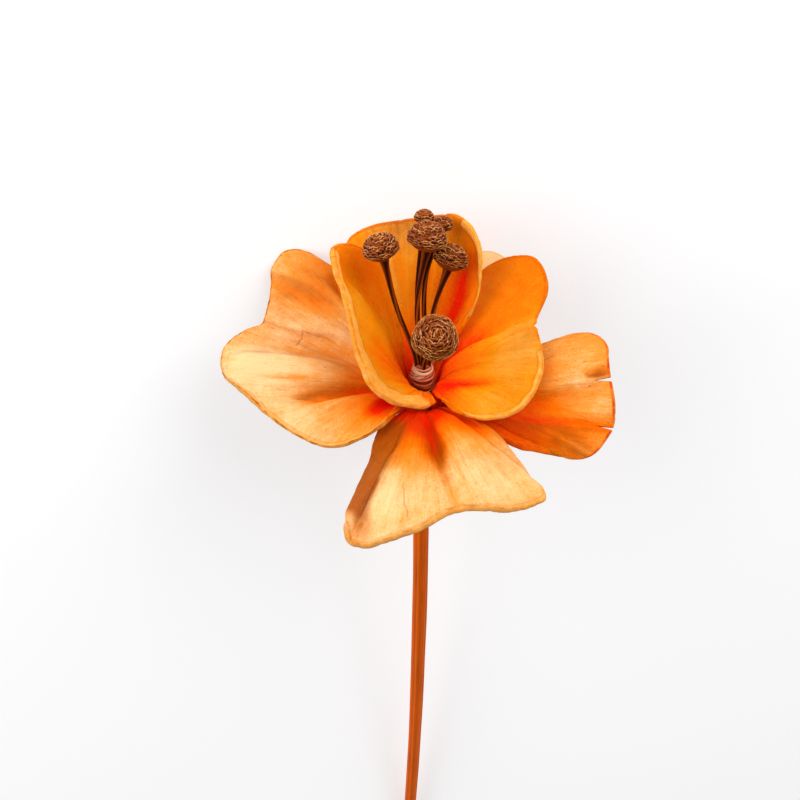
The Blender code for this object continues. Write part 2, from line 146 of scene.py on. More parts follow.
def husk(dye, reach, seed, crinkle, edge, folds, lip=0.0, faded=False, **spots):
    """What the dried husk does on one petal: its dye, from 0, pale apricot, to 1, red orange, and how far
    from the neck the foot's red reaches (mm); how deep its wrinkles are (mm), how brown its edge is, its
    folds, and how far its lip turns up (mm). Tints redden it or make it paler, partly as dye and partly as
    painted light and shade. Shades brown it as painted shade, in places also browner husk. Both are round
    spots of (across, along, mm, how much); hems are rolled rims (from, to, width in mm at both, how much);
    slits are (across, depth, half width); marks are brown cracks along a path, with a width in mm. Across
    and along are shares in percent."""
    empty = {"tints": (), "shades": (), "hems": (), "slits": (), "marks": ()}
    return {"dye": dye, "reach": reach, "seed": seed, "crinkle": crinkle, "edge": edge, "folds": folds,
            "lip": lip, "faded": faded, **empty, **spots}


# Shades in this table, like the shade sides of the folds, are painted shade, in places also browner husk.
# Some tints are painted light and shade in place of dye.
DETAILS = {
    "petal_outer_left": husk(
        dye=0.21, reach=8.5, seed=3, crinkle=0.075, edge=1.3, lip=0.12, faded=True,
        folds=[
            fold([(42, 25), (44.8, 46), (45.5, 64), (45.8, 87), (46, 100)], 1.3, (5, 1.5), -0.08, 1.4,
                 shade=(0, 0.3)),
            fold([(50, 5), (55.8, 21), (61.5, 37), (62.2, 50), (61.5, 62), (59, 82)], -1.1, (1.3, 2.4), 0.3,
                 1.5, shade=(0, 0.55)),
            fold([(74, 15), (74, 37), (68, 57), (68.5, 86)], 0.9, (2.4, 2.2), -0.06, 1.7, shade=(0.1, 0)),
            fold([(80, 5), (83.5, 15), (84.2, 41), (82.8, 62)], -0.6, (1.4, 1.6), 0.45),
            fold([(22, 30), (23.2, 46), (27, 65), (29.2, 83), (30.2, 100)], 0.7, (0.9, 2.8), -0.12, 1.4,
                 over_rim=True, shade=(0.2, 0)),
            fold([(12, 35), (12.5, 57), (14.5, 73), (16.5, 85), (19.2, 100)], 0.85, (1.2, 2.8), -0.04, 1.4,
                 over_rim=True, shade=(0.14, 0.05)),
            fold([(16, 45), (19, 72), (21.8, 100)], -0.45, (1.4, 1), 0.1, 1.5, over_rim=True),
            fold([(5, 30), (6, 60), (6, 90)], -0.4, (1.2, 1.4), 0.3, shade=(0.3, 0.3)),
            fold([(22, 35), (36, 50), (40, 70), (40, 95)], -0.3, (1.6, 2.2), 0.1, 1.5),
            fold([(34, 30), (37, 50), (34.5, 80)], 0.28, (0.9, 1.1), -0.1, 1.3),
            fold([(50.7, 44), (51.8, 61), (51.8, 72), (51, 90)], -0.25, (0.4, 0.5), 0.22, 1.3,
                 shade=(0.15, 0.15)),
            fold([(63, 50), (65, 70), (65.5, 95)], -0.2, (0.8, 0.8), 0.08, 1.4, over_rim=True)],
        tints=[(50, 80, 8, -0.2), (68, 85, 5, -0.1), (30, 40, 6, -0.06), (8, 80, 8, 0.22), (80, 50, 6, 0.12),
               (33, 85, 4, -0.04), (36, 50, 5, 0.02)],
        shades=[(8, 85, 8, 0.42), (74, 60, 4, 0.2), (21.8, 85, 4, 0.15), (28, 60, 5, 0.1), (25, 95, 3, 0.15),
                (36, 80, 6, 0.16), (80, 90, 3, 0.25), (70, 97, 2.4, 0.2)],
        hems=[(50, 97, 1.1, 1.3, 0.66)],
        marks=[([(36, 67), (34.5, 69), (31.8, 72), (28.2, 72), (27.6, 62), (26.8, 50)], 0.26),
               ([(55.5, 76), (55.7, 71)], 0.3)]),
    "petal_outer_front": husk(
        dye=0.16, reach=8.5, seed=11, crinkle=0.045, edge=0.85, faded=True,
        folds=[
            fold([(22, 38), (30, 47), (37, 59), (38.7, 76), (40.5, 90), (41.2, 100)], 0.8, (4.6, 3.2),
                 -0.06, 1.5, over_rim=True, shade=(0, 0.34)),
            fold([(50, 2), (51.5, 7), (53.2, 13), (55.5, 28), (56.4, 47), (56.2, 68)], -1.15, (1.6, 1.5),
                 0.42, 1.5, shade=(0.3, 0.2)),
            fold([(56.2, 55), (57.2, 77), (57.8, 98)], -0.28, (0.6, 0.7), 0.1, 1.3, over_rim=True,
                 shade=(0.1, 0.1)),
            fold([(62, 10), (66, 35), (68, 60)], 0.5, (2.6, 2), -0.08, 1.6),
            fold([(85.5, 20), (84.5, 45), (82, 65), (77, 95)], 0.3, (2.8, 3.2), -0.03, 1.8, shade=(0.08, 0)),
            fold([(37.2, 12), (42, 30), (47.5, 50)], 0.5, (2, 2.4), 0, 1.8),
            fold([(42, 30), (44.5, 60), (45, 80)], -0.18, (0.9, 1.2), 0.05, 1.4)],
        tints=[(32, 20, 4.5, 0.42), (43, 12, 3.5, 0.25), (20, 70, 4.5, 0.12), (85, 35, 5, 0.22),
               (90, 60, 3, 0.15), (68, 75, 5, -0.1), (43, 70, 4, -0.07), (55.5, 42, 2.6, 0.16),
               (54, 25, 4, 0.12), (42, 36, 5, 0.16), (47, 50, 4, 0.1), (76, 30, 4, 0.14), (76, 55, 5, 0.1)],
        shades=[(12, 60, 6, 0.9), (10, 88, 5, 0.9), (22, 82, 4, 0.95), (30, 80, 2.6, 0.5),
                (31.2, 87, 2.2, 0.7), (27, 55, 3.5, 0.5), (33.5, 66, 2.2, 0.35), (34, 93, 2.5, 0.12),
                (55.2, 26, 1.8, 0.2), (56.5, 40, 2.6, 0.45), (56.8, 54, 2.6, 0.4), (57, 70, 2, 0.25),
                (46, 97, 3, 0.25), (74, 64, 4, 0.18), (84, 70, 5, 0.14), (70, 99, 4, 0.2)],
        hems=[(30, 80, 0.9, 0.9, 0.6)],
        marks=[([(65.8, 33), (64.2, 52), (64, 61)], 0.18), ([(44.2, 66), (45.2, 76), (47, 91)], 0.18)]),
    "petal_outer_right": husk(
        dye=0.4, reach=13, seed=17, crinkle=0.075, edge=1.5, faded=True,
        folds=[
            fold([(20, 30), (32, 54), (37.5, 68), (39.8, 82), (41, 100)], -0.7, (0.8, 1.4), 0.2, 1.5,
                 over_rim=True, shade=(0.1, 0.3)),
            fold([(51, 40), (56.8, 65), (59, 78), (59, 100)], 0.8, (4, 1.3), -0.14, 1.5, over_rim=True),
            fold([(45, 40), (51, 68), (50, 84)], -0.6, (1.8, 2.4), 0.06, 1.7, shade=(0.12, 0.1)),
            fold([(62, 84), (62.5, 100)], -0.5, (0.7, 0.7), 0.15, 1.5, over_rim=True, shade=(0.2, 0.5)),
            fold([(30, 70), (28, 98)], 0.3, (1, 1), -0.08, 1.4, over_rim=True, shade=(0.2, 0.2)),
            fold([(46, 72), (47, 98)], 0.22, (0.8, 0.8), -0.08, 1.4, over_rim=True),
            fold([(75, 30), (80, 60), (82, 90)], 0.3, (2, 2), -0.04)],
        tints=[(50, 93, 3.2, -0.18), (74, 80, 7, -0.12), (54, 76, 4, -0.1), (20, 60, 9, 0.14),
               (40, 50, 5, 0.1)],
        shades=[(15, 75, 8, 0.35), (30, 90, 4, 0.25), (61, 93, 1.8, 0.45), (45, 99, 1.6, 0.2)],
        slits=[(59, 3.2, 0.38), (40.5, 3.3, 0.3)],
        marks=[([(70, 60), (71, 65), (72, 69)], 0.3), ([(64, 95.5), (64.1, 96.5)], 0.4),
               ([(30, 80), (31, 90)], 0.25), ([(33, 82), (33.5, 90)], 0.25)]),
    "petal_outer_back": husk(
        dye=0.12, reach=9, seed=23, crinkle=0.05, edge=0.6, faded=True,
        folds=[
            fold([(30, 20), (32, 60), (33, 95)], -0.5, (2, 2.5), 0.1),
            fold([(70, 20), (68, 60), (66, 95)], 0.5, (2.5, 2))],
        tints=[(50, 90, 6, -0.12)]),
    "petal_inner_right": husk(
        dye=0.33, reach=6.5, seed=29, crinkle=0.035, edge=0.6, lip=0.1,
        folds=[
            fold([(50, 5), (51.5, 22), (53, 46), (54, 68), (55.6, 85), (57.2, 100)], 1.25, (1.6, 4.2),
                 -0.14, 1.4, over_rim=True),
            fold([(14, 12), (21.2, 33), (30, 47), (37, 74)], -0.8, (0.9, 1.2), 0.5, 1.5),
            fold([(66, 10), (70, 40), (74, 70)], -0.4, (2.5, 2.5), 0.1),
            fold([(45, 55), (47, 75), (48, 100)], 0.3, (1.2, 1.6), -0.06, 1.5, over_rim=True)],
        tints=[(50, 85, 4.5, -0.12), (40, 65, 5, -0.1), (22, 80, 6, -0.12), (90, 30, 6, 0.24),
               (66, 20, 4, 0.2), (62, 45, 4, 0.1), (75, 85, 7, 0.1)],
        shades=[(52, 90, 3.5, 0.3), (75, 90, 6, 0.22), (95, 80, 5, 0.2), (62, 80, 4, 0.1), (33, 75, 7, 0.3)],
        hems=[(7.5, 50, 1.5, 1.2, 0.7), (56, 97, 0.8, 0.8, 0.3)],
        slits=[(56, 0.5, 0.7)],
        marks=[([(19, 93), (22, 95.5)], 0.4), ([(53.5, 55), (54.8, 80)], 0.16)]),
    "petal_inner_back": husk(
        dye=0.44, reach=8, seed=31, crinkle=0.06, edge=0.5, lip=0.12,
        folds=[
            fold([(26, 20), (27, 44), (28.8, 57), (32.8, 70), (36, 90)], -0.8, (1.8, 1.6), 0.5, 1.7),
            fold([(50, 20), (50, 50), (48, 90)], 0.4, (2, 2), -0.03, 1.6),
            fold([(70, 20), (69, 50), (69, 90)], 0.5, (1.6, 2.2), -0.12, 1.6),
            fold([(80, 25), (79.8, 50), (80.5, 69), (81, 90)], 0.35, (0.9, 1.2), -0.28, 1.4)],
        tints=[(80, 95, 7, -0.28), (30, 95, 4, 0.05), (65, 95, 6, -0.24), (46, 92, 5, -0.22)],
        shades=[(78, 97, 8, 0.46), (60, 97, 7, 0.4), (45, 97, 5, 0.25)],
        hems=[(2, 42, 1.3, 1.5, 0.9), (50, 98, 0.7, 0.7, 0.3)]),
    "petal_inner_left": husk(
        dye=0.42, reach=5, seed=37, crinkle=0.045, edge=0.8, lip=0.1,
        folds=[
            fold([(10, 20), (16, 36), (22.2, 50), (28.5, 74), (30, 95)], 0.7, (3.6, 1.2), -0.06, 1.6),
            fold([(58, 95), (64, 82), (70, 70), (74, 55)], 0.4, (1, 1), -0.1, 1.5),
            fold([(50, 15), (50, 45), (46, 75)], -0.45, (2, 2.4), 0.1)],
        tints=[(40, 90, 3.5, -0.14), (52, 92, 3.5, -0.14), (65, 90, 3, -0.14), (80, 80, 3, -0.3),
               (93, 70, 4, -0.4), (12, 45, 6, -0.08)],
        hems=[(20, 99.5, 1.9, 3.6, 1)]),
}
# Red at each petal's foot, deep in the bloom: dye, and partly painted shade and reflected light.
FOOT_DYE = 0.92            # the red orange at a petal's foot
GATHER_REACH = 9.0         # how far from the neck the foot's gathers reach (mm)
GATHER_DEPTH = 0.3
COCKLE_DEPTH = 0.16        # slow unevenness of the dried sheet
CRINKLES = (1.1, 4.2)      # shortest and longest spacing of the fine wrinkles that run with the ribs
HEM_LIFT = 0.3             # how proud a rolled rim is
HEM_GROOVE = 0.05          # depth of the line along its inner side
GRID_ACROSS, GRID_ALONG = 0.42, 0.38   # spacing of the grid's lines (mm)
CLAW_STEPS = 6             # grid rows between foot and neck
RIM_WEAR = 0.16            # how far the rim's small nicks go in
CORNER = 0.34              # radius at the rim's edges
BORDER_SPREAD = 0.55       # how far from the border the grid's lines stand close together
FOLD_END = 0.3             # share of a fold over which it fades at an end
HEM_END = 0.03             # share of the rim over which a rolled part begins and ends

# Bud heads on stalks: foot in the binding as heading and radius, a bend, the head's middle, its diameter
STAMENS = {
    "stamen_left": ((188, 1.2), (-4.9, 2.0, 20.0), (-7.9, 4.2, 32.2), 6.7),
    "stamen_middle": ((0, 0.0), (-1.2, 1.5, 19.0), (0.6, 5.6, 33.5), 7.3),
    "stamen_right": ((-8, 1.2), (1.9, 3.4, 18.0), (5.1, 7.4, 27.8), 6.6),
    "stamen_front": ((-80, 1.2), (0.8, -5.5, 16.5), (1.7, -13.3, 25.5), 8.0),
    "stamen_back_left": ((125, 1.2), (-1.1, 5.3, 22.0), (0.1, 12.1, 34.0), 3.8),
    "stamen_back_right": ((62, 1.2), (0.8, 8.4, 25.0), (3.7, 12.0, 32.6), 3.7),
}
STALK_FOOT = -0.2          # heights of a stalk's foot, and of the place where it leaves the binding (mm)
STALK_EXIT = 8.9
STALK_FLARE = 2.0          # how much thicker it is at its head
HEAD_TOP = 0.92            # height of a head's dome and depth of its underside, in radii
HEAD_UNDERSIDE = 0.66
SCALE_ROW = 0.54           # rows of scales, this far apart (mm)
SCALE_WIDE = 1.35          # width of a scale (mm)
SCALE_PROUD = 0.44         # how far a scale's free edge stands out (mm)
HEAD_GRID = (34, 56)       # rows and columns of a head 1 mm across; they grow with its diameter ^ 0.6

# Binding
BINDING_BOTTOM, BINDING_TOP = -0.6, 8.9
BINDING_RADIUS = 2.2
BINDING_CAP = 0.3          # how far its middle lies in at both ends
GATHER_HEADING = -22.0     # where the loose fibres of its front come together, low on its shoulder
GATHER_HEIGHT = 0.82       # polar angle of that place on the drum
LOOSE_ENDS = (0.6, 0.72, 0.84, 0.92, 1.06, 1.2, 1.34)    # polar angles that they fan out to, opposite
WOUND = 11                 # dyed strands below them
STRAND_STEPS = 96

# Stem: points of its line as height and place across, and the length that its rounded cut takes
STEM_RADIUS = 1.85
STEM_TOP_RADIUS = 1.75
STEM_LINE = [(-1.0, 0.0), (-30.0, 0.25), (-60.0, 0.45), (-90.0, 0.3), (-120.0, 0.0), (-150.0, -0.6),
             (-175.0, -1.3), (-200.0, -2.1)]
STEM_CUT = 0.6


def srgb(code):
    """Linear red, green and blue from an sRGB hex value, and full alpha."""
    value = np.array([int(code[k:k + 2], 16) for k in (1, 3, 5)]) / 255.0
    linear = np.where(value <= 0.04045, value / 12.92, ((value + 0.055) / 1.055) ** 2.4)
    return (*linear.tolist(), 1.0)


def dye_colour(name, description, code):
    """Colour that a user would change."""
    return FloatVectorProperty(name=name, description=description, default=srgb(code), subtype="COLOR",
                               min=0.0, max=1.0, size=4)


def length(name, description, millimetres):
    """Size that a user would change."""
    return FloatProperty(name=name, description=description, default=millimetres * MM, unit="LENGTH",
                         subtype="DISTANCE")


class HuskSettings(bpy.types.PropertyGroup):
    sheet: length("Thickness", "Thickness of the dried husk", 1.1)
    # Pale end of the dye: faded husk on the rims, and on the ridges partly a painted highlight.
    pale: dye_colour("Pale dye", "Where the dye has faded on ridges and rims", "#EAC088")
    apricot: dye_colour("Apricot dye", "Blades of the pale petals", "#E29038")
    amber: dye_colour("Amber dye", "Lighter parts of the inner petals", "#E28A08")
    orange: dye_colour("Orange dye", "Blades of the orange petals", "#EE7200")
    deep: dye_colour("Deep dye", "Towards the foot of a petal", "#EA5200")
    # Red that the folds and feet reach: dye, and partly painted shade and reflected light in the valleys and
    # deep in the bloom.
    red: dye_colour("Red dye", "Dye that has pooled in folds and at the foot", "#EE2000")
    # Painted shade, in part: this brown darkens hollows, the far sides of folds and parts that the inner
    # petals shadow. It also browns older husk and cut edges.
    shade: dye_colour("Browned dye", "Older, browner husk in hollows and at the edges", "#984400")
    hem: dye_colour("Rolled rim", "Worn, yellowed husk of the rolled rims", "#E8A23C")
    scorch: dye_colour("Edge brown", "Cut edges, cracks and specks", "#B83C06")


class BudSettings(bpy.types.PropertyGroup):
    stalk: length("Stalk", "Diameter of a stalk", 0.9)
    # Painted shade: the dark ground shows in the recess just above each scale's raised edge, and between the
    # stalks' ribs.
    gap: dye_colour("Between scales", "Dark ground between the scales", "#2C0C03")
    scale: dye_colour("Scale", "Copper brown of the scales", "#8C3C06")
    # Painted highlight: glints along the scales' free edges, partly their own worn, paler edges.
    glint: dye_colour("Scale edge", "Worn, papery edge of a scale", "#E49C46")
    # Darker, redder underside: partly its own colour, partly painted shade and reflected orange.
    under: dye_colour("Underside", "Smoother underside of a head", "#7A2808")
    stalk_dark: dye_colour("Stalk dye", "Dark red brown of the stalks", "#581A04")


class StemSettings(bpy.types.PropertyGroup):
    radius: length("Radius", "Radius of the stem", STEM_RADIUS)
    dye: dye_colour("Stem dye", "Orange brown dye of the stem", "#D65C00")
    # Colour of the stem's grooves, which the code makes darker than its ridges.
    dark: dye_colour("Stem dark", "Dye that has gathered in its grooves", "#A23C00")
    fibre: dye_colour("Binding fibre", "Undyed strands of the binding", "#CEA078")
    fibre_dye: dye_colour("Binding dye", "Dyed strands of the binding", "#BC4A06")
    # The drum under the strands has this dark colour, so it shows dark between them.
    fibre_dark: dye_colour("Binding core", "Deeper fibres between the strands", "#641604")


class StageSettings(bpy.types.PropertyGroup):
    floor: dye_colour("Floor", "Plain pale floor", "#CBCBCC")
    key: FloatProperty(name="Key light", description="Power of the large soft key light (W)", default=6.9)
    fill: FloatProperty(name="Fill light", description="Power of the soft fill light (W)", default=6.5)
    sky: FloatProperty(name="Sky", description="Strength of the even light from all round", default=0.44)
    glow: FloatProperty(name="Table glow", description="Light that the white table gives off", default=0.39)


# Shared shapes

def toward(heading, rise):
    """Unit vectors at a heading round the stem and a rise above level."""
    h, r = np.broadcast_arrays(np.radians(heading), np.radians(rise))
    return np.stack([np.cos(r) * np.cos(h), np.cos(r) * np.sin(h), np.sin(r)], axis=-1)


def unit(vectors):
    """Vectors divided by their lengths."""
    return vectors / np.maximum(np.linalg.norm(vectors, axis=-1, keepdims=True), 1e-9)


def ease(x):
    """Smooth step from 0 to 1."""
    x = np.clip(x, 0.0, 1.0)
    return x * x * (3.0 - 2.0 * x)


def bell(x, width, power=2.0):
    """1 at 0, and 1/e at the width."""
    return np.exp(-(x / width) ** power)


def running(steps, axis=0):
    """Sums of the steps so far, from 0."""
    return np.insert(np.cumsum(steps, axis=axis), 0, 0.0, axis=axis)


def smooth_through(knots, values, at):
    """Cubic curve through the values, its slope at each knot a weighted mean of the two beside it."""
    gap = np.diff(knots)
    steep = np.diff(values, axis=0) / gap[:, None]
    inner = (steep[:-1] * gap[1:, None] + steep[1:] * gap[:-1, None]) / (gap[1:] + gap[:-1])[:, None]
    slope = np.concatenate([steep[:1], inner, steep[-1:]])
    k = np.clip(np.searchsorted(knots, at, "right") - 1, 0, len(gap) - 1)
    g = gap[k][:, None]
    t = (at - knots[k])[:, None] / g
    return ((1 + 2 * t) * (1 - t) ** 2 * values[k] + t * (1 - t) ** 2 * g * slope[k]
            + t * t * (3 - 2 * t) * values[k + 1] + t * t * (t - 1) * g * slope[k + 1])


def waves(x, y, count, shortest, longest, seed):
    """Slow uneven field from -1 to 1: a sum of sines in random directions, wavelengths in mm."""
    draw = np.random.default_rng(seed)
    total = np.zeros(np.broadcast(x, y).shape)
    for wavelength in np.geomspace(shortest, longest, count):
        turn, phase = draw.uniform(0.0, FULL_TURN, 2)
        total += np.sin(FULL_TURN * (x * math.cos(turn) + y * math.sin(turn)) / wavelength + phase)
    return total / math.sqrt(count) / 1.5


def spread(count, spots):
    """Shares from 0 to 1, closer together round each spot (place, width, how much closer)."""
    fine = np.linspace(0.0, 1.0, 4001)
    density = np.ones_like(fine)
    for place, width, closer in spots:
        density += closer * bell(fine - place, width)
    run = running((density[1:] + density[:-1]) / 2)
    return np.interp(np.linspace(0.0, run[-1], count + 1), run, fine)


def round_angles(count):
    """Even angles round a full turn, from 0."""
    return np.linspace(0.0, FULL_TURN, count, endpoint=False)


def globe(rows, columns):
    """Grids of polar angles from top to bottom, without the poles, and of angles round."""
    return np.meshgrid(np.linspace(0.0, math.pi, rows + 2)[1:-1], round_angles(columns), indexing="ij")


def lay_matrix():
    """Turns the flower's frame so that its stem lies along Y, its bloom at +Y, then puts it in its place."""
    on_back = Matrix.Rotation(math.radians(-90.0), 4, "X")
    roll = Matrix.Rotation(math.radians(LAY_ROLL), 4, "Z")
    tilt = Matrix.Rotation(math.radians(LAY_TILT), 4, "X")
    return Matrix.Translation(Vector(LAY_PLACE) * MM) @ tilt @ on_back @ roll


def lay(points):
    """Points of the flower's frame in mm, as points of the row frame in metres, none below the ground."""
    turn = np.array(lay_matrix())
    placed = (points * MM) @ turn[:3, :3].T + turn[:3, 3]
    placed[..., 2] = np.maximum(placed[..., 2], GROUND_CLEARANCE * MM)
    return placed


def grid_quads(index):
    """Quads between neighbouring rows and columns of a grid of vertex numbers."""
    return np.stack([index[:-1, :-1], index[1:, :-1], index[1:, 1:], index[:-1, 1:]], axis=-1).reshape(-1, 4)


def outward(points, quads, triangles=np.zeros((0, 3), int)):
    """A closed surface with its faces turned outward: the volume inside, which is the sum of a . (b x c) /
    6 over its triangles, is then positive."""
    halves = np.concatenate([quads[:, [0, 1, 2]], quads[:, [0, 2, 3]], triangles])
    a, b, c = (points[halves[:, k]] for k in range(3))
    if (a * np.cross(b, c)).sum() < 0:
        quads, triangles = quads[:, ::-1], triangles[:, ::-1]
    return points, quads, triangles


def closed_shell(rings, ends):
    """Closed surface through rings of points (rows, round, xyz), with a point at each end."""
    rows, columns = rings.shape[:2]
    index = np.pad(np.arange(rows * columns).reshape(rows, columns), ((0, 0), (0, 1)), mode="wrap")
    first, last = (np.full(columns, rows * columns + k) for k in range(2))
    triangles = np.concatenate([np.stack([first, index[0, :-1], index[0, 1:]], axis=1),
                                np.stack([last, index[-1, 1:], index[-1, :-1]], axis=1)])
    return outward(np.concatenate([rings.reshape(-1, 3), ends]), grid_quads(index), triangles)


def joined(shells):
    """Several closed surfaces as one."""
    points, quads, triangles = zip(*shells)
    starts = running([len(p) for p in points]).astype(int)
    return (np.concatenate(points), np.concatenate([q + s for q, s in zip(quads, starts)]),
            np.concatenate([t + s for t, s in zip(triangles, starts)]))


def add_object(name, data):
    """Object with the given data, in the scene."""
    obj = bpy.data.objects.new(name, data)
    bpy.context.scene.collection.objects.link(obj)
    return obj


def build_piece(name, surface, material, fields, uv=None):
    """Mesh object from a closed surface: points of the flower's frame in mm, and quads and triangles as
    vertex numbers, with one value per vertex for each named field, and a UV map."""
    placed, quads, triangles = outward(lay(surface[0]), *surface[1:])
    corners = np.concatenate([quads.ravel(), triangles.ravel()])
    sides = np.repeat([4, 3], [len(quads), len(triangles)])
    mesh = bpy.data.meshes.new(name)
    mesh.vertices.add(len(placed))
    mesh.vertices.foreach_set("co", placed.astype(np.float32).ravel())
    mesh.loops.add(len(corners))
    mesh.loops.foreach_set("vertex_index", corners.astype(np.int32))
    mesh.polygons.add(len(sides))
    mesh.polygons.foreach_set("loop_start", running(sides)[:-1].astype(np.int32))
    mesh.polygons.foreach_set("use_smooth", np.ones(len(sides), bool))
    mesh.update(calc_edges=True)
    if uv is not None:
        mesh.uv_layers.new(name="surface").data.foreach_set("uv", uv[corners].astype(np.float32).ravel())
    for field, values in fields.items():
        layer = mesh.attributes.new(field, "FLOAT", "POINT")
        layer.data.foreach_set("value", values.astype(np.float32))
    mesh.materials.append(material)
    return add_object(name, mesh)


# Husk petals

def rim_ribs(plan, even):
    """Ribs at even shares of the rim's length, read from a smooth curve through the given ones, with their
    shares of that curve and the rim's length."""
    apex = np.array([0.0, 0.0, plan["ring"]["apex"]])
    ribs = np.array(plan["ribs"], float)
    tips = apex + ribs[:, 2:3] * toward(ribs[:, 0], ribs[:, 1])
    steps = np.sqrt(np.linalg.norm(np.diff(tips, axis=0), axis=1))
    knots = running(steps) / steps.sum()
    fine = np.linspace(0.0, 1.0, RIM_READINGS)
    dense = smooth_through(knots, ribs, fine)
    rim = apex + dense[:, 2:3] * toward(dense[:, 0], dense[:, 1])
    along = np.linalg.norm(np.diff(rim, axis=0), axis=1)
    run = running(along + LEAST_STEP)
    share = np.interp(even * run[-1], run, fine)
    return share, smooth_through(knots, ribs, share), float(along.sum())


def rib_arcs(plan, share, ribs):
    """The four control points of each rib's cubic arc, and the foot of the claw below it."""
    heading, rise, reach, curl, bow = ribs.T
    ring = plan["ring"]
    first, last = plan["foot"]
    level = toward(first + (last - first) * share, 0.0)
    foot, neck = (level * radius + [0.0, 0.0, height] for radius, height in (ring["root"], ring["neck"]))
    tip = np.array([0.0, 0.0, ring["apex"]]) + reach[:, None] * toward(heading, rise)
    chord = np.linalg.norm(tip - neck, axis=1, keepdims=True)
    lift = toward(heading, rise + 90.0) * bow[:, None]
    hold = neck + unit(neck - foot) * np.minimum(chord * LEAD_SHARE, ring["lead"]) + lift * FOOT_LIFT
    arrive = tip - toward(heading, rise + curl) * chord * ARRIVE_SHARE + lift
    return foot, (neck, hold, arrive, tip)


def on_arcs(arcs, t):
    """Points of the arcs: (1-t)^3 neck + 3(1-t)^2 t hold + 3(1-t) t^2 arrive + t^3 tip."""
    neck, hold, arrive, tip = arcs
    t = t[..., None]
    return (1 - t) ** 3 * neck + 3 * (1 - t) ** 2 * t * hold + 3 * (1 - t) * t * t * arrive + t ** 3 * tip


def share_to_t(arcs, along):
    """The arcs' own parameter at shares of each arc's length, and the lengths in mm."""
    fine = np.linspace(0.0, 1.0, 81)
    line = on_arcs(arcs, np.repeat(fine[:, None], len(arcs[0]), axis=1))
    run = running(np.linalg.norm(np.diff(line, axis=0), axis=2))
    want = along * run[-1]
    low = np.clip((run[None, :, :] <= want[:, None, :]).sum(axis=1) - 1, 0, len(fine) - 2)
    column = np.arange(run.shape[1])
    below, above = run[low, column], run[low + 1, column]
    return (low + (want - below) / np.maximum(above - below, 1e-9)) / (len(fine) - 1), run[-1]


def surface_point(grid, places, rows, columns):
    """Points of a grid at (across, along) shares, straight between its nearest lines."""
    j = np.interp(places[:, 0], columns, np.arange(len(columns)))
    i = np.interp(places[:, 1], rows, np.arange(len(rows)))
    i0 = np.clip(i.astype(int), 0, grid.shape[0] - 2)
    j0 = np.clip(j.astype(int), 0, grid.shape[1] - 2)
    fi, fj = (i - i0)[:, None], (j - j0)[:, None]
    return ((1 - fi) * ((1 - fj) * grid[i0, j0] + fj * grid[i0, j0 + 1])
            + fi * ((1 - fj) * grid[i0 + 1, j0] + fj * grid[i0 + 1, j0 + 1]))


def fold_field(one, sheet, normal, rows, columns):
    """How strongly each point of the sheet lies in a fold, from 0 to 1: exp(-(distance / width) ^ power),
    with the width of the side that it is on. Also where it is towards larger across."""
    at = np.linspace(0.0, 1.0, 90)
    course = smooth_through(np.linspace(0.0, 1.0, len(one["path"])), one["path"], at)
    line = surface_point(sheet, course, rows, columns)
    heading = unit(np.gradient(line, axis=0))
    flat = sheet.reshape(-1, 3)
    away = ((flat[:, None, :] - line[None, :, :]) ** 2).sum(axis=2)
    nearest = away.argmin(axis=1)
    distance = np.sqrt(away[np.arange(len(flat)), nearest])
    larger = (np.cross(heading[nearest], flat - line[nearest]) * normal.reshape(-1, 3)).sum(axis=1) > 0
    strength = bell(distance, np.where(larger, *one["widths"]), one["power"]) * ease(at[nearest] / FOLD_END)
    if not one["over_rim"]:
        strength = strength * ease((1.0 - at[nearest]) / FOLD_END)
    return strength.reshape(sheet.shape[:2]), larger.reshape(sheet.shape[:2])


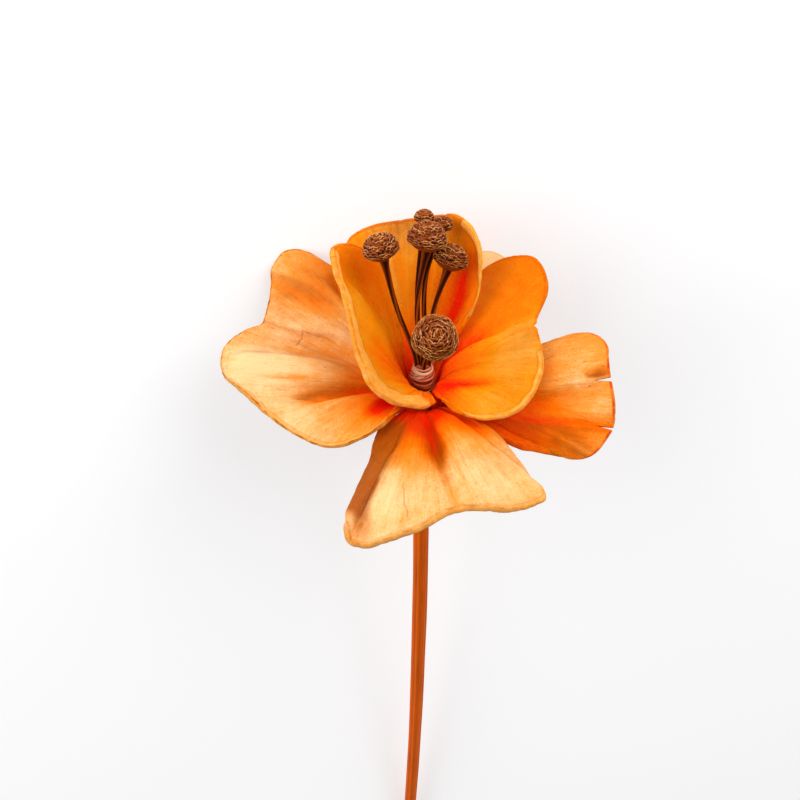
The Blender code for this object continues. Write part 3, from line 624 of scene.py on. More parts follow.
def husk_sheet(plan, detail, coarser):
    """Middle surface of a petal with its folds, gathers and cockles, and the fields its faces need."""
    slits = [(across / 100.0, depth, half) for across, depth, half in detail["slits"]]
    rim_length = rim_ribs(plan, np.array([0.0, 1.0]))[2]
    spots = [(end, BORDER_SPREAD / rim_length, 6.0) for end in (0.0, 1.0)]
    spots += [(place, 2.0 * half / rim_length, 5.0) for place, depth, half in slits]
    even = spread(int(rim_length / GRID_ACROSS / coarser), spots)
    share, ribs, _ = rim_ribs(plan, even)
    foot, arcs = rib_arcs(plan, share, ribs)
    reach = share_to_t(arcs, np.ones((1, len(even))))[1]
    rows = spread(int(reach.mean() / GRID_ALONG / coarser), [(1.0, BORDER_SPREAD / reach.mean(), 6.0)])

    def uneven(order, *settings):
        """Waves that are this petal's own, by its seed and the order of their use."""
        return waves(*settings, detail["seed"] + order)

    wear = RIM_WEAR * np.clip(uneven(0, even * rim_length, 0.0, 6, 1.1, 9.0), 0.0, None)
    for place, depth, half in slits:
        wear = wear + depth * np.clip(1.0 - np.abs(even - place) * rim_length / half, 0.0, 1.0)
    along = rows[:, None] * (1.0 - np.minimum(wear / reach, 0.5))
    blade = on_arcs(arcs, share_to_t(arcs, along)[0])
    normal = unit(np.cross(np.gradient(blade, axis=0), np.gradient(blade, axis=1)))
    if (normal * ([0.0, 0.0, 40.0] - blade)).sum() < 0:
        normal = -normal

    # Cockles, wrinkles and gathers of the whole blade, and the dye and painted shade that go with them
    from_neck = along * reach
    x = np.broadcast_to(even * rim_length, from_neck.shape)
    cockles = uneven(1, x, from_neck, 7, 4.5, 15.0)
    gathers = uneven(2, x, 0.0, 5, rim_length / 13.0, rim_length / 5.0)
    crinkles = uneven(4, x, 0.16 * from_neck, 9, *CRINKLES)
    patchy = 0.55 + 0.45 * uneven(5, x, from_neck, 4, 7.0, 19.0)
    height = COCKLE_DEPTH * cockles * ease(from_neck / 6.0)
    height = height + detail["crinkle"] * crinkles * patchy * ease(from_neck / 5.0)
    height = height + GATHER_DEPTH * gathers * ease(from_neck / 3.0) * bell(from_neck, GATHER_REACH)
    # Redder towards the foot: dye, and partly painted shade and reflected light deep in the bloom.
    dye = detail["dye"] + (FOOT_DYE - detail["dye"]) * bell(from_neck, detail["reach"], 1.6)
    dye = dye - 0.05 * gathers * bell(from_neck, 1.6 * GATHER_REACH)
    # Painted shade in the troughs of the fine wrinkles.
    shade = 0.12 * np.clip(-crinkles, 0.0, 1.0) * ease(from_neck / 5.0)
    for one in detail["folds"]:
        strength, larger = fold_field(one, blade, normal, rows, even)
        height = height + one["height"] * strength * ease(from_neck / 4.0)
        # Folds: redder valleys and paler ridges are dye, and partly painted shade, reflected light and
        # highlight. Their shade sides are painted shade on the flanks.
        dye = dye + one["dye"] * strength
        shade = shade + 4.0 * strength * (1.0 - strength) * np.where(larger, *one["shade"])
    # Tint spots change the dye, in some places standing for painted light. Shade spots are painted shade, in
    # places browner husk.
    for field, spots in ((dye, detail["tints"]), (shade, detail["shades"])):
        for across, place, radius, amount in spots:
            spot = surface_point(blade, np.array([[across, place]]) / 100.0, rows, even)
            field += amount * bell(np.linalg.norm(blade - spot, axis=2), radius)

    # The lip, and rims that are rolled
    from_first = running(np.linalg.norm(np.diff(blade, axis=1), axis=2), axis=1)
    from_side = np.minimum(from_first, from_first[:, -1:] - from_first)
    to_rim = np.minimum(from_side, (1.0 - rows)[:, None] * reach)
    height = height + detail["lip"] * bell(to_rim - 1.0, 0.8) * ease(from_neck / 8.0)
    hem = np.zeros_like(to_rim)
    for first, last, width, last_width, amount in detail["hems"]:
        first, last = first / 100.0, last / 100.0
        here = amount * ease((even - first) / HEM_END) * ease((last - even) / HEM_END)
        here = here * ease(from_neck / 4.0)
        width = width + (last_width - width) * np.clip((even - first) / (last - first), 0.0, 1.0)
        width = width * (1.0 + 0.1 * uneven(6, x, 0.0, 5, 2.5, 9.0))
        hem = np.maximum(hem, here * ease((width - to_rim) / 0.8 + 0.5))
        roll = np.sin(np.pi * np.clip(to_rim / width, 0.0, 1.0))
        height = height + here * (HEM_LIFT * roll - HEM_GROOVE * bell(to_rim - width, 0.25))
    blade = blade + normal * height[..., None]

    # The claw goes straight from the foot to the neck
    down = np.linspace(0.0, 1.0, CLAW_STEPS + 1)[:-1, None]
    claw = foot + (blade[0] - foot) * down[..., None]
    pad = np.zeros((CLAW_STEPS, len(even)))
    with_claw = {"dye": (dye[0], dye), "shade": (0.0, shade), "hem": (0.0, hem),
                 "across": (even, x / rim_length), "along": (0.0, along)}
    made = {name: np.concatenate([pad + low, high]) for name, (low, high) in with_claw.items()}
    made["to_rim"] = np.concatenate([np.minimum(from_side[0], down * 6.0), to_rim])
    made["sheet"] = np.concatenate([claw, blade])
    made["normal"] = np.concatenate([np.repeat(normal[:1], CLAW_STEPS, axis=0), normal])
    made["span"] = (rim_length, float(reach.mean()), 1.0)
    return made


def make_petal(node, settings, crack):
    """Husk petal: the sheet offset to both faces by half its thickness, h (1 - (1 - d / c)^3)^(1/3) at a
    distance d from its border, so that the cut edge is nearly flat with rounded corners. Both faces share
    the border."""
    made = husk_sheet(PETALS[node], DETAILS[node], 1.0)
    near = np.clip(1.0 - made["to_rim"] / CORNER, 0.0, 1.0)
    half = settings.sheet / MM / 2.0 * (1.0 - near ** 3) ** (1.0 / 3.0)
    inner = np.zeros(half.shape, bool)
    inner[1:-1, 1:-1] = True
    upper = np.arange(half.size).reshape(half.shape)
    lower = upper.copy()
    lower[inner] = half.size + np.arange(inner.sum())
    offset = made["normal"] * (half * inner)[..., None]
    points = np.concatenate([(made["sheet"] + offset).reshape(-1, 3), (made["sheet"] - offset)[inner]])
    quads = np.concatenate([grid_quads(upper), grid_quads(lower)[:, ::-1]])
    both = {name: np.append(made[name], made[name][inner])
            for name in ("dye", "shade", "hem", "to_rim", "across", "along")}
    uv = np.stack([both.pop("across"), both.pop("along")], axis=1)
    material = dyed_husk(node + "_husk", settings, made["span"], DETAILS[node], crack)
    return build_piece(node + "_form", (points, quads), material, both, uv)


# Bud heads

def stalk_path(foot, bend, middle, count):
    """Points of a stalk: straight up through the binding, then a smooth bend to the head."""
    root = toward(float(foot[0]), 0.0) * foot[1] + [0.0, 0.0, STALK_FOOT]
    leave = root + [0.0, 0.0, STALK_EXIT - STALK_FOOT]
    via = np.array([root, leave, bend, middle])
    knots = running(np.linalg.norm(np.diff(via, axis=0), axis=1))
    above = np.linspace(knots[1], knots[-1], count)
    return np.concatenate([np.linspace(root, leave, 8)[:-1], smooth_through(knots, via, above)])


def ring_frame(path):
    """Two unit vectors across a path at each of its points, without twist about Y."""
    along = unit(np.gradient(path, axis=0))
    first = unit(np.cross(np.broadcast_to((0.0, 1.0, 0.0), along.shape), along))
    return first, np.cross(along, first)


def tube(path, radius):
    """Closed tube: rings of the given radii (points x around) across the path."""
    first, second = ring_frame(path)
    turn = round_angles(radius.shape[1])[:, None]
    around = np.cos(turn) * first[:, None, :] + np.sin(turn) * second[:, None, :]
    return closed_shell(path[:, None, :] + around * radius[..., None], [path[0], path[-1]])


def scale_relief(polar, around, radius, seed):
    """Scales in rings round a head, like shingles with their free edges towards its top. A free edge is the
    curve y = row (0.7 x^2 / w^2 - 1/2), x round the head and y down it. Of the scales below whose edge a
    point lies, the one with the nearest edge shows; its height falls from 1 at that edge to 0 at 1.25 rows
    below. Also returned: the scale's own tone, and how close its edge is."""
    draw = np.random.default_rng(seed)
    levels = np.arange(0.15, 2.25 * radius / SCALE_ROW) * SCALE_ROW / radius
    counts = np.maximum(np.round(FULL_TURN * np.sin(levels) * radius / SCALE_WIDE * 1.15), 3).astype(int)
    tilt = np.repeat(levels, counts) + draw.normal(0.0, 0.24 * SCALE_ROW / radius, counts.sum())
    turn = np.concatenate([draw.uniform() * 6.0 + round_angles(count) for count in counts])
    turn = turn + draw.normal(0.0, 0.14, len(turn)) * SCALE_WIDE / radius / np.maximum(np.sin(tilt), 0.3)
    tone = draw.uniform(0.0, 1.0, len(turn))
    wide = SCALE_WIDE * draw.uniform(0.5, 0.85, len(turn))
    flat_polar = polar.reshape(-1, 1)
    apart = (around.reshape(-1, 1) - turn + math.pi) % FULL_TURN - math.pi
    x = apart * np.sin(flat_polar) * radius / wide
    below = (flat_polar - tilt) * radius - SCALE_ROW * (0.7 * x * x - 0.5)
    below = np.where((below > 0.0) & (np.abs(x) < 1.0), below, 9.0)
    shown = below.argmin(axis=1)
    below = below.min(axis=1).reshape(polar.shape)
    height = np.clip(1.0 - below / (1.25 * SCALE_ROW), 0.0, 1.0) ** 1.2
    return height, tone[shown].reshape(polar.shape), bell(below, 0.13)


def make_stamen(name, settings, material):
    """Bud head on its stalk. The head is a dome, height 0.92 cos(p) and radius sin(p) of its own at a polar
    angle p, over a shallow underside that runs into the stalk; its scales stand out from the dome."""
    foot, bend, middle, diameter = STAMENS[name]
    order = list(STAMENS).index(name)
    radius = diameter / 2.0
    path = stalk_path(foot, bend, middle, 48)
    axis = unit(path[-1] - path[-2])
    path[-1] = path[-1] - axis * radius * 0.2
    turn = round_angles(20)
    from_head = np.linalg.norm(path - path[-1], axis=1)[:, None]
    flare = 1.0 + (STALK_FLARE - 1.0) * np.exp(-np.maximum(from_head - radius * 0.4, 0.0) / 2.2)
    rib = np.cos(3 * turn + from_head * 0.35)
    ribbed = 1.0 + 0.09 * rib + 0.05 * np.cos(7 * turn)
    stalk = tube(path, settings.stalk / MM / 2.0 * flare * ribbed)

    fine = 1.0
    polar, around = globe(*(int(count * diameter ** 0.6 * fine) for count in HEAD_GRID))
    relief, tone, edge = scale_relief(polar, around, radius, 41 + order)
    covered = ease((2.1 - polar) / 0.35)
    relief = relief * covered
    lumps = 1.0 + 0.03 * np.sin(3 * around + order) * np.sin(polar) + 0.02 * np.sin(5 * around + 2 * polar)
    out = radius * lumps + SCALE_PROUD * (relief - 0.6) * np.clip(radius / 3.0, 0.7, 1.0)
    below = polar > math.pi / 2
    level = np.where(below, np.sin(polar) ** 1.25, np.sin(polar)) * out
    tall = np.where(below, HEAD_UNDERSIDE, HEAD_TOP) * np.cos(polar) * out
    first, second = (side[-1] for side in ring_frame(path[-3:]))
    parts = ((np.cos(around) * level, first), (np.sin(around) * level, second), (tall, axis))
    rings = np.array(middle) + sum(amount[..., None] * way for amount, way in parts)
    ends = np.array(middle) + np.outer([radius * HEAD_TOP, -radius * HEAD_UNDERSIDE], axis)

    bare = np.zeros(len(stalk[0]))
    fields = {"relief": [relief.ravel(), [1.0, 0.0], (0.5 + 0.5 * rib).ravel(), [0.0, 0.0]],
              "tone": [tone.ravel(), [0.5, 0.5], bare],
              "edge": [(edge * covered).ravel(), [0.0, 0.0], bare],
              "head": [covered.ravel() * 0.5 + 0.5, [1.0, 0.5], bare]}
    fields = {field: np.concatenate(values) for field, values in fields.items()}
    return build_piece(name + "_form", joined([closed_shell(rings, ends), stalk]), material, fields)


# Binding and stem

def drum(polar, around, proud):
    """Superellipse of revolution: radius r sin^0.7, height h cos^0.9 of the polar angle."""
    level = (BINDING_RADIUS + proud) * np.sin(polar) ** 0.7
    tall = (BINDING_TOP - BINDING_BOTTOM) / 2.0 - BINDING_CAP + proud
    high = tall * np.sign(np.cos(polar)) * np.abs(np.cos(polar)) ** 0.9
    return np.stack([level * np.cos(around), level * np.sin(around), high], axis=-1)


def strand(path, wide, thick):
    """Flat strand along a closed path round the drum: a ring of 8 points across it at each of its points."""
    along = unit(np.roll(path, -1, axis=0) - np.roll(path, 1, axis=0))
    out = unit(path)
    section = round_angles(8)[:, None]
    across = np.cross(along, out)[:, None, :] * wide
    rings = path[:, None, :] + np.cos(section) * across + np.sin(section) * out[:, None, :] * thick
    index = np.pad(np.arange(len(path) * 8).reshape(-1, 8), ((0, 1), (0, 1)), mode="wrap")
    return outward(rings.reshape(-1, 3), grid_quads(index))


def make_binding(settings):
    """Bound foot of the stalks: a turned drum with rounded ends, dyed strands wound round it, and a few
    pale loose ones. The polar angle of a loose one goes from the place where they gather to its own, as
    sin^2 of half its turn from there."""
    polar, around = globe(40, 72)
    ripple = 0.07 * np.sin(16 * polar + around) + 0.04 * np.sin(37 * polar - 2 * around)
    cap = (BINDING_TOP - BINDING_BOTTOM) / 2.0 - BINDING_CAP
    shells = [closed_shell(drum(polar, around, ripple), [[0.0, 0.0, cap], [0.0, 0.0, -cap]])]
    top = np.append(ease((1.1 - polar) / 0.6), [1.0, 0.0])
    on_strand, tone = [0.2 * top], [0.05 * top]

    draw = np.random.default_rng(5)
    turn = round_angles(STRAND_STEPS)
    away = np.sin(turn / 2.0) ** 2
    for number in range(WOUND + len(LOOSE_ENDS)):
        if number < WOUND:
            sway = draw.uniform(-0.16, 0.16) * np.cos(turn + draw.uniform() * 6)
            place, course = 0.42 + 1.9 * number / (WOUND - 1) + sway, turn
            proud, wide, thick = 0.12 + 0.1 * draw.uniform(), 0.24 + 0.12 * draw.uniform(), 0.14
        else:
            fan = LOOSE_ENDS[number - WOUND] - GATHER_HEIGHT
            place = GATHER_HEIGHT + fan * away + 0.03 * np.sin(2 * turn + number)
            course = math.radians(GATHER_HEADING) - turn
            proud, wide, thick = 0.3, 0.09, 0.08
        path = drum(place, course, proud + 0.03 * np.cos(5 * turn + number))
        shells.append(strand(path, wide, thick))
        count = len(shells[-1][0])
        on_strand.append(np.ones(count))
        tone.append(np.full(count, 0.16 + 0.36 * draw.uniform() if number < WOUND else 1.0))
    points, quads, triangles = joined(shells)
    points = points + [0.0, 0.0, (BINDING_TOP + BINDING_BOTTOM) / 2.0]
    fields = {"strand": np.concatenate(on_strand), "tone": np.concatenate(tone)}
    return build_piece("binding_form", (points, quads, triangles), bast_fibre(settings), fields)


def make_stem(settings):
    """Stem: a round tube along a slightly wandering line, with shallow grooves along it, and a plain cut
    end, a little rounded at its rim, whose flat face is marked as pith."""
    line = np.array(STEM_LINE)[::-1]
    lowest, highest = line[0, 0], line[-1, 0]
    deep = np.concatenate([np.linspace(lowest, lowest + STEM_CUT, 5)[:-1],
                           np.linspace(lowest + STEM_CUT, highest, 260)])
    side = smooth_through(line[:, 0], line[:, 1:], deep)
    deep = deep[:, None]
    turn = round_angles(72)
    groove = sum(depth * np.cos(count * turn + start)
                 for depth, count, start in ((0.035, 7, 0.4), (0.025, 11, 2.0), (0.018, 17, 1.0)))
    slow = 0.03 * np.sin(deep / 17.0) + 0.02 * np.sin(deep / 6.1 + 1.0)
    radius = settings.radius / MM + (STEM_TOP_RADIUS - STEM_RADIUS) * ease((deep + 30.0) / 29.0) - 0.06
    radius = radius + groove * (1.0 + 0.3 * np.sin(deep / 23.0)) + slow
    cut = np.clip((deep - lowest) / STEM_CUT, 0.0, 1.0)
    radius = radius - 0.16 * (1.0 - np.sqrt(1.0 - (1.0 - cut) ** 2))
    at_end = np.broadcast_to(deep < lowest + 0.01, radius.shape)
    fields = {"groove": np.append(np.broadcast_to(groove, radius.shape) * 12.0, [0.0, 0.0]),
              "end": np.append(at_end, [1.0, 0.0])}
    around, up = np.broadcast_arrays(turn / FULL_TURN, (deep - lowest) / 200.0)
    uv = np.stack([np.append(around, [0.0, 0.0]), np.append(up, [0.0, 1.0])], axis=1)
    surface = tube(np.concatenate([side, 0.0 * deep, deep], axis=1), radius)
    return build_piece("stem_form", surface, dyed_cane(settings), fields, uv)


# Materials

def add_node(tree, kind, *values, inputs=None, stops=(), out=None, **settings):
    """Adds a node with its settings, and gives its output. The values go to its inputs in order, and others
    by name; each is a constant or the output of another node, which is linked. Stops are a ramp's
    colours."""
    node = tree.nodes.new("ShaderNode" + kind)
    for key, value in settings.items():
        setattr(node, key, value)
    named = {name: node.inputs[name] for name in inputs or {}}
    sockets = [socket for socket in node.inputs if socket.enabled]
    for socket, value in (*zip(sockets, values), *((named[name], inputs[name]) for name in named)):
        if isinstance(value, bpy.types.NodeSocket):
            tree.links.new(value, socket)
        else:
            socket.default_value = value
    if stops:
        marks = node.color_ramp.elements
        while len(marks) < len(stops):
            marks.new(0.5)
        for mark, (position, colour) in zip(marks, stops):
            mark.position, mark.color = position, colour
    outputs = [socket for socket in node.outputs if socket.enabled and out in (None, socket.name)]
    return outputs[0] if outputs else None


def new_material(name, *fields):
    """Material with an empty node tree, what adds nodes to it, and its readings of a piece's own fields."""
    material = bpy.data.materials.new(name)
    material.use_nodes = True
    material.node_tree.nodes.clear()
    add = partial(add_node, material.node_tree)
    return material, add, *(add("Attribute", attribute_name=field, out="Fac") for field in fields)


SMOOTH_STEP = {"interpolation_type": "SMOOTHSTEP"}
MULTIPLY = {"operation": "MULTIPLY"}
COLOURS = {"data_type": "RGBA"}


def with_patterns(add, value, *patterns):
    """A value plus each pattern, less its middle of 0.5, by its weight."""
    for pattern, weight in patterns:
        centred = add("Math", pattern, weight, -0.5 * weight, operation="MULTIPLY_ADD")
        value = add("Math", value, centred, operation="ADD")
    return value


def crack_line():
    """Node group: how close a point is to a straight line between two points, 1 on it and 0 at its width."""
    group = bpy.data.node_groups.new("crack_line", "ShaderNodeTree")
    for name in ("Point", "From", "To"):
        group.interface.new_socket(name, in_out="INPUT", socket_type="NodeSocketVector")
    group.interface.new_socket("Width", in_out="INPUT", socket_type="NodeSocketFloat")
    group.interface.new_socket("Closeness", in_out="OUTPUT", socket_type="NodeSocketFloat")
    point, start, end, width = group.nodes.new("NodeGroupInput").outputs[:4]
    add = partial(add_node, group)
    offset = add("VectorMath", point, start, operation="SUBTRACT")
    line = add("VectorMath", end, start, operation="SUBTRACT")
    along = add("VectorMath", offset, line, operation="DOT_PRODUCT")
    whole = add("VectorMath", line, line, operation="DOT_PRODUCT")
    share = add("Math", along, whole, operation="DIVIDE", use_clamp=True)
    foot = add("VectorMath", line, inputs={"Scale": share}, operation="SCALE")
    away = add("VectorMath", offset, foot, operation="DISTANCE")
    closeness = add("MapRange", away, 0.0, width, 1.0, 0.0, **SMOOTH_STEP)
    group.links.new(closeness, group.nodes.new("NodeGroupOutput").inputs["Closeness"])
    return group


def dyed_husk(name, settings, span, detail, crack):
    """Dyed, preserved husk: a stiff, fibrous plant sheet. The dye pools in its folds and thins on its
    ridges, which also paints the shade and reflected light of the valleys and the light on the ridges.
    Painted shade browns its hollows. Soft fibres run from foot to rim, and its cut edges are browner. Its
    pattern along the sheet is in mm of its span."""
    material, add, dye, shade, hem, to_rim = new_material(name, "dye", "shade", "hem", "to_rim")
    flat = add("VectorMath", add("UVMap", uv_map="surface"), span, **MULTIPLY)
    solid = add("TexCoord", out="Object")

    # Fibres about 1.4 mm (streak) and 0.3 mm (hair) apart that run with the ribs, worn spots of the rim
    # about 2 mm long (patch), and specks of brown about 0.4 mm wide, few and far between
    streak, hair, patch, speck = (
        add("TexNoise", add("VectorMath", flat, per_mm, **MULTIPLY), 1.0, *finer) for per_mm, *finer in (
            ((0.7, 0.07, 1.0), 3.0, 0.55), ((3.2, 0.3, 1.0), 2.0, 0.6),
            ((0.55, 0.8, 1.0), 5.0, 0.65), ((1.7, 1.0, 1.0), 1.0, 0.4)))
    # Clouds of dye about 6 mm across, mottles, a felt-like grain of about 0.35 mm, and wear of the cut edge
    cloud, mottle, felt, wear = (add("TexNoise", solid, *values) for values in (
        (170.0, 4.0, 0.55), (620.0, 3.0, 0.65), (2800.0, 2.0, 0.6), (500.0, 3.0, 0.55)))
    tinted = with_patterns(add, dye, (streak, 0.25), (felt, 0.24), (hair, 0.23), (cloud, 0.22),
                           (mottle, 0.16))
    shaded = with_patterns(add, shade, (cloud, 0.3), (mottle, 0.16))

    # Smooth steps between two values of a field or pattern, to two others where those aren't 0 and 1
    step = {name: add("MapRange", *values, **SMOOTH_STEP) for name, values in {
        "brown": (shaded, 0.08, 0.95, 0.0, 0.92),
        "on hem": (hem, 0.3, 0.8),
        "yellow": (patch, 0.28, 0.5, 0.35, 0.95),
        "pale": (patch, 0.48, 0.68, 0.0, 0.38),
        "hem starts": (hem, 0.06, 0.3),
        "hem is whole": (hem, 0.75, 0.35),
        "speck": (speck, 0.7, 0.77, 0.0, 0.55),
        "edge": (to_rim, 0.75, 0.3),
        "corner": (to_rim, 0.0, 0.3, 0.35, 1.0),
        "wear": (wear, 0.3, 0.7, 0.1 * detail["edge"], 0.8 * detail["edge"]),
        "roughness": (streak, 0.3, 0.7, 0.62, 0.5)}.items()}
    yellowed = add("Math", step["on hem"], step["yellow"], **MULTIPLY)
    # Painted shade: a darker line along the groove at the inner side of a rolled rim.
    hem_groove_shade = add("Math", step["hem starts"], step["hem is whole"], **MULTIPLY)
    hem_groove_shade = add("Math", hem_groove_shade, 0.28, **MULTIPLY)
    corner = add("Math", step["edge"], step["corner"], **MULTIPLY)
    corner = add("Math", corner, step["wear"], **MULTIPLY)

    # From the dye up: brown that is painted shade and in places browner husk, the yellowed rim with a darker
    # line of painted shade along its inner side, specks, and the cut edge, which is browner along its two
    # corners
    faded = detail["faded"]
    lightest, light = (settings.pale, settings.apricot) if faded else (settings.hem, settings.amber)
    worn_rim = add("Mix", step["pale"], settings.hem, settings.pale, **COLOURS)
    edge_brown = settings.shade if detail["dye"] < 0.3 else settings.scorch
    colour = add("ValToRGB", tinted, stops=(
        (0.02, lightest), (0.27, light), (0.5, settings.orange), (0.72, settings.deep),
        (0.95, settings.red)))
    for amount, over in ((step["brown"], settings.shade), (yellowed, worn_rim), (hem_groove_shade, settings.shade),
                         (step["speck"], settings.scorch), (corner, edge_brown)):
        colour = add("Mix", amount, colour, over, **COLOURS)

    # Cracks, on a slightly bent sheet so that they aren't straight
    height = add("Math", streak, 0.6, **MULTIPLY)
    height = with_patterns(add, height, (hair, 0.5), (mottle, 0.3), (felt, 0.8))
    wobble = add("TexNoise", flat, 0.9, 2.0, out="Color")
    wobble = add("VectorMath", wobble, (0.9, 0.9, 0.0), (-0.45, -0.45, 0.0), operation="MULTIPLY_ADD")
    bent = add("VectorMath", flat, wobble, operation="ADD")
    dark, wider, deep = 0.46, 1.1, 0.1
    for path, width in detail["marks"]:
        points = [(across / 100.0 * span[0], along / 100.0 * span[1], 0.0) for across, along in path]
        for start, end in zip(points[:-1], points[1:]):
            near = add("Group", bent, start, end, wider * width, node_tree=crack)
            colour = add("Mix", add("Math", near, dark, **MULTIPLY), colour, settings.scorch, **COLOURS)
            height = add("Math", near, -deep, height, operation="MULTIPLY_ADD")

    shader = add("BsdfPrincipled", inputs={
        "Base Color": colour, "Roughness": step["roughness"], "Specular IOR Level": 0.04, "IOR": 1.46,
        "Subsurface Weight": 0.3 if faded else 0.6, "Subsurface Radius": (1.0, 0.4, 0.12),
        "Subsurface Scale": 0.0025,
        "Normal": add("Bump", inputs={"Height": height, "Strength": 0.8, "Distance": 0.0003})})
    add("OutputMaterial", shader)
    return material


def dried_bud(bud):
    """Dried bud: papery scales over a dark ground, on a red brown stalk, with painted light and shade over
    their own colours: shade in the recesses between the rows and in the stalks' grooves, glints on the
    scales' edges, and shade and reflected orange on the darker, redder underside.
    """
    material, add, relief, tone, head, edge = new_material("dried_bud_scales", "relief", "tone", "head",
                                                           "edge")
    solid = add("TexCoord", out="Object")
    grit = add("TexNoise", solid, 2600.0, 2.0, 0.6)
    cloud = add("TexNoise", solid, 700.0, 3.0, 0.6)
    lit = with_patterns(add, relief, (grit, 0.25), (cloud, 0.2))
    # Painted glints on the scales' free edges, patchy by tone and cloud, partly their own worn edges. The
    # same value sets the real shine.
    glint_and_shine = with_patterns(add, edge, (tone, 0.7), (cloud, 0.8))
    strand = with_patterns(add, relief, (grit, 0.4))
    step = {name: add("MapRange", *values, **SMOOTH_STEP) for name, values in {
        "glint": (glint_and_shine, 0.5, 1.1, 0.0, 0.8),
        "light": (cloud, 0.3, 0.7),
        "scaly": (head, 0.6, 0.9),
        "head": (head, 0.2, 0.45),
        "roughness": (relief, 0.4, 0.95, 0.6, 0.28),
        "shine": (glint_and_shine, 0.6, 1.15, 0.1, 0.9),
        "shiny": (head, 0.2, 0.9, 0.4, 1.0)}.items()}
    # Painted shade: the low part of each scale, in the recess above the raised edge of the scale below,
    # takes the dark ground colour.
    scales = add("ValToRGB", lit, stops=((0.2, bud.gap), (0.85, bud.scale)))
    scales = add("Mix", step["glint"], scales, bud.glint, **COLOURS)
    # The underside, patchy by cloud, is painted shade and reflected orange, partly its own smoother surface.
    under = add("Mix", step["light"], bud.under, bud.scale, **COLOURS)
    body = add("Mix", step["scaly"], under, scales, **COLOURS)
    # Stalks: dark ground in the grooves between their ribs and copper on the ribs' crests, painted shade and
    # glints over their own dark red brown.
    stalk = add("ValToRGB", strand, stops=((0.2, bud.gap), (0.6, bud.stalk_dark), (1.0, bud.scale)))
    shader = add("BsdfPrincipled", inputs={
        "Base Color": add("Mix", step["head"], stalk, body, **COLOURS), "Roughness": step["roughness"],
        "Specular IOR Level": add("Math", step["shine"], step["shiny"], **MULTIPLY),
        "Normal": add("Bump", inputs={"Height": grit, "Strength": 0.5, "Distance": 0.0001})})
    add("OutputMaterial", shader)
    return material


def bast_fibre(stem):
    """Bast fibre wound while damp: flat, slightly glossy strands, some of them dyed."""
    material, add, tone, on_strand = new_material("bast_fibre", "tone", "strand")
    grain = add("VectorMath", add("TexCoord", out="Object"), (2200.0, 2200.0, 900.0), **MULTIPLY)
    grain = add("TexNoise", grain, 1.0, 2.0, 0.55)
    mixed = with_patterns(add, tone, (grain, 0.35))
    colour = add("ValToRGB", mixed, stops=(
        (0.0, stem.fibre_dark), (0.35, stem.fibre_dye), (0.95, stem.fibre)))
    shader = add("BsdfPrincipled", inputs={
        "Base Color": add("Mix", on_strand, stem.fibre_dark, colour, **COLOURS), "Roughness": 0.45,
        "Normal": add("Bump", inputs={"Height": grain, "Strength": 0.5, "Distance": 0.0001})})
    add("OutputMaterial", shader)
    return material


def dyed_cane(stem):
    """Dyed stem of a reed: close fibres along it, darker in its grooves, and a pale pith."""
    material, add, groove, end = new_material("dyed_reed", "groove", "end")
    flat = add("VectorMath", add("UVMap", uv_map="surface"), (11.6 * 3.0, 200.0 * 0.08, 1.0), **MULTIPLY)
    solid = add("VectorMath", add("TexCoord", out="Object"), (110.0, 45.0, 110.0), **MULTIPLY)
    fibre = add("TexNoise", flat, 1.0, 3.0, 0.6)
    cloud = add("TexNoise", solid, 1.0, 3.0, 0.55)
    raised = add("MapRange", groove, -0.8, 0.8, 0.3, 0.7, **SMOOTH_STEP)
    mixed = with_patterns(add, raised, (fibre, 0.7), (cloud, 0.5))
    colour = add("ValToRGB", mixed, stops=((0.15, stem.dark), (0.7, stem.dye)))
    shader = add("BsdfPrincipled", inputs={
        "Base Color": add("Mix", end, colour, stem.fibre, **COLOURS), "Roughness": 0.6,
        "Specular IOR Level": 0.06,
        "Normal": add("Bump", inputs={"Height": fibre, "Strength": 0.5, "Distance": 0.00015})})
    add("OutputMaterial", shader)
    return material


def pale_paper(stage):
    """Plain matte floor, lit a little from inside as a product table is, so that shadows on it are faint."""
    material, add = new_material("pale_paper")
    shader = add("BsdfPrincipled", inputs={
        "Base Color": stage.floor, "Roughness": 0.9, "Specular IOR Level": 0.0,
        "Emission Color": (1.0, 1.0, 1.0, 1.0), "Emission Strength": stage.glow})
    add("OutputMaterial", shader)
    return material


# Stage

def make_camera():
    """Camera that looks at the bloom from its distance and pitch in the flower's frame, moved sideways and
    down by its aim."""
    pitch = math.radians(CAMERA_PITCH)
    right = Vector((1.0, 0.0, 0.0))
    forward = Vector((0.0, math.cos(pitch), -math.sin(pitch)))
    upward = Vector((0.0, math.sin(pitch), math.cos(pitch)))
    width_at_origin = CAMERA_DISTANCE * CAMERA_SENSOR / CAMERA_LENS
    aim = (right * CAMERA_AIM[0] + upward * CAMERA_AIM[1]) * width_at_origin
    place = Matrix.Translation(-(forward * CAMERA_DISTANCE + aim) * MM)
    data = bpy.data.cameras.new("camera")
    data.lens = CAMERA_LENS
    data.sensor_width = CAMERA_SENSOR
    data.clip_start = 0.01
    data.clip_end = 20.0
    camera = add_object("camera", data)
    camera.matrix_world = lay_matrix() @ place @ Matrix((right, upward, -forward)).transposed().to_4x4()
    bpy.context.scene.camera = camera
    return camera


def make_light(name, camera, place, size, power):
    """Large square light, placed by distances to the camera's right, up and back from the bloom, aimed at
    it."""
    bloom = Vector(BLOOM)
    turn = camera.matrix_world.to_3x3().normalized()
    data = bpy.data.lights.new(name, "AREA")
    data.shape = "SQUARE"
    data.size = size
    data.energy = power
    light = add_object(name, data)
    light.location = bloom + turn @ Vector(place)
    light.rotation_euler = (light.location - bloom).to_track_quat("Z", "Y").to_euler()


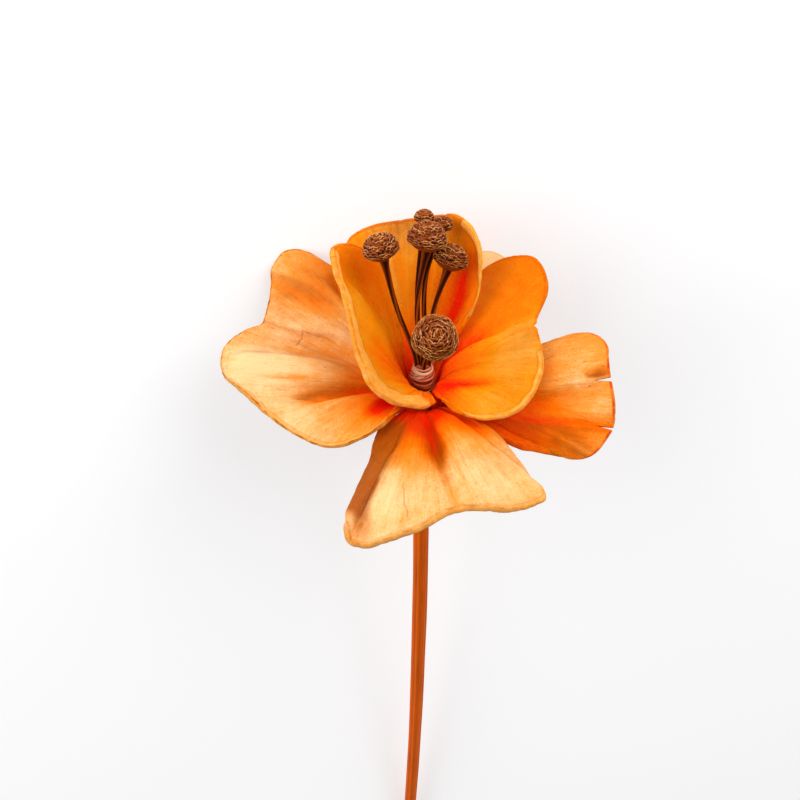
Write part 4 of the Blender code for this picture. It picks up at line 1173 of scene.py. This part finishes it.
class FLOWER_OT_stage(bpy.types.Operator):
    """Pale floor, soft light and the camera that looks down on the lying flower"""
    bl_idname = "flower.stage"
    bl_label = "Stage"

    def execute(self, context):
        stage = context.scene.flower_stage
        camera = make_camera()
        make_light("key_light", camera, (0.5, 0.35, 0.65), 0.7, stage.key)
        make_light("fill_light", camera, (-0.6, 0.1, 0.5), 0.8, stage.fill)
        world = bpy.data.worlds.new("even_light")
        world.use_nodes = True
        sky = world.node_tree.nodes["Background"].inputs
        sky["Color"].default_value = (1.0, 1.0, 1.0, 1.0)
        sky["Strength"].default_value = stage.sky
        context.scene.world = world
        context.scene.view_settings.view_transform = "Standard"
        bpy.ops.mesh.primitive_plane_add(size=8.0)
        floor = context.active_object
        floor.name = "floor"
        floor.data.materials.append(pale_paper(stage))
        return {"FINISHED"}


def stand_for(piece, node):
    """Puts a finished piece in the place of a node of the frame."""
    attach(piece, "root")
    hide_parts(node)


class FLOWER_OT_petals(bpy.types.Operator):
    """Seven dyed husk petals in two rings"""
    bl_idname = "flower.petals"
    bl_label = "Husk petals"

    def execute(self, context):
        crack = crack_line()
        for name, plan in PETALS.items():
            stand_for(make_petal(name, context.scene.flower_husk, crack), name)
        return {"FINISHED"}


class FLOWER_OT_stamens(bpy.types.Operator):
    """Six dried bud heads on their stalks"""
    bl_idname = "flower.stamens"
    bl_label = "Bud heads"

    def execute(self, context):
        settings = context.scene.flower_bud
        material = dried_bud(settings)
        for name in STAMENS:
            stand_for(make_stamen(name, settings, material), name)
        return {"FINISHED"}


class FLOWER_OT_binding(bpy.types.Operator):
    """Wound fibre at the foot of the bloom"""
    bl_idname = "flower.binding"
    bl_label = "Binding"

    def execute(self, context):
        stand_for(make_binding(context.scene.flower_stem), "binding")
        return {"FINISHED"}


class FLOWER_OT_stem(bpy.types.Operator):
    """Dyed stem with a plain cut end"""
    bl_idname = "flower.stem"
    bl_label = "Stem"

    def execute(self, context):
        stand_for(make_stem(context.scene.flower_stem), "stem")
        return {"FINISHED"}


SETTINGS = {"flower_husk": HuskSettings, "flower_bud": BudSettings, "flower_stem": StemSettings,
            "flower_stage": StageSettings}
OPERATORS = (FLOWER_OT_stage, FLOWER_OT_petals, FLOWER_OT_stamens, FLOWER_OT_binding, FLOWER_OT_stem)


class FLOWER_PT_sidebar(bpy.types.Panel):
    """Settings and steps of the dried flower"""
    bl_idname = "FLOWER_PT_sidebar"
    bl_label = "Dried Flower"
    bl_space_type = "VIEW_3D"
    bl_region_type = "UI"
    bl_category = "Dried Flower"

    def draw(self, context):
        for name, settings in SETTINGS.items():
            box = self.layout.box()
            for prop in settings.__annotations__:
                box.prop(getattr(context.scene, name), prop)
        for operator in OPERATORS:
            self.layout.operator(operator.bl_idname)


CLASSES = (*SETTINGS.values(), *OPERATORS, FLOWER_PT_sidebar)


def register():
    for cls in CLASSES:
        bpy.utils.register_class(cls)
    for name, settings in SETTINGS.items():
        setattr(bpy.types.Scene, name, PointerProperty(type=settings))


def unregister():
    for name in SETTINGS:
        delattr(bpy.types.Scene, name)
    for cls in reversed(CLASSES):
        bpy.utils.unregister_class(cls)


def main():
    register()
    bpy.ops.flower.stage()
    bpy.ops.flower.petals()
    bpy.ops.flower.stamens()
    bpy.ops.flower.binding()
    bpy.ops.flower.stem()


if __name__ == "__main__":
    main()
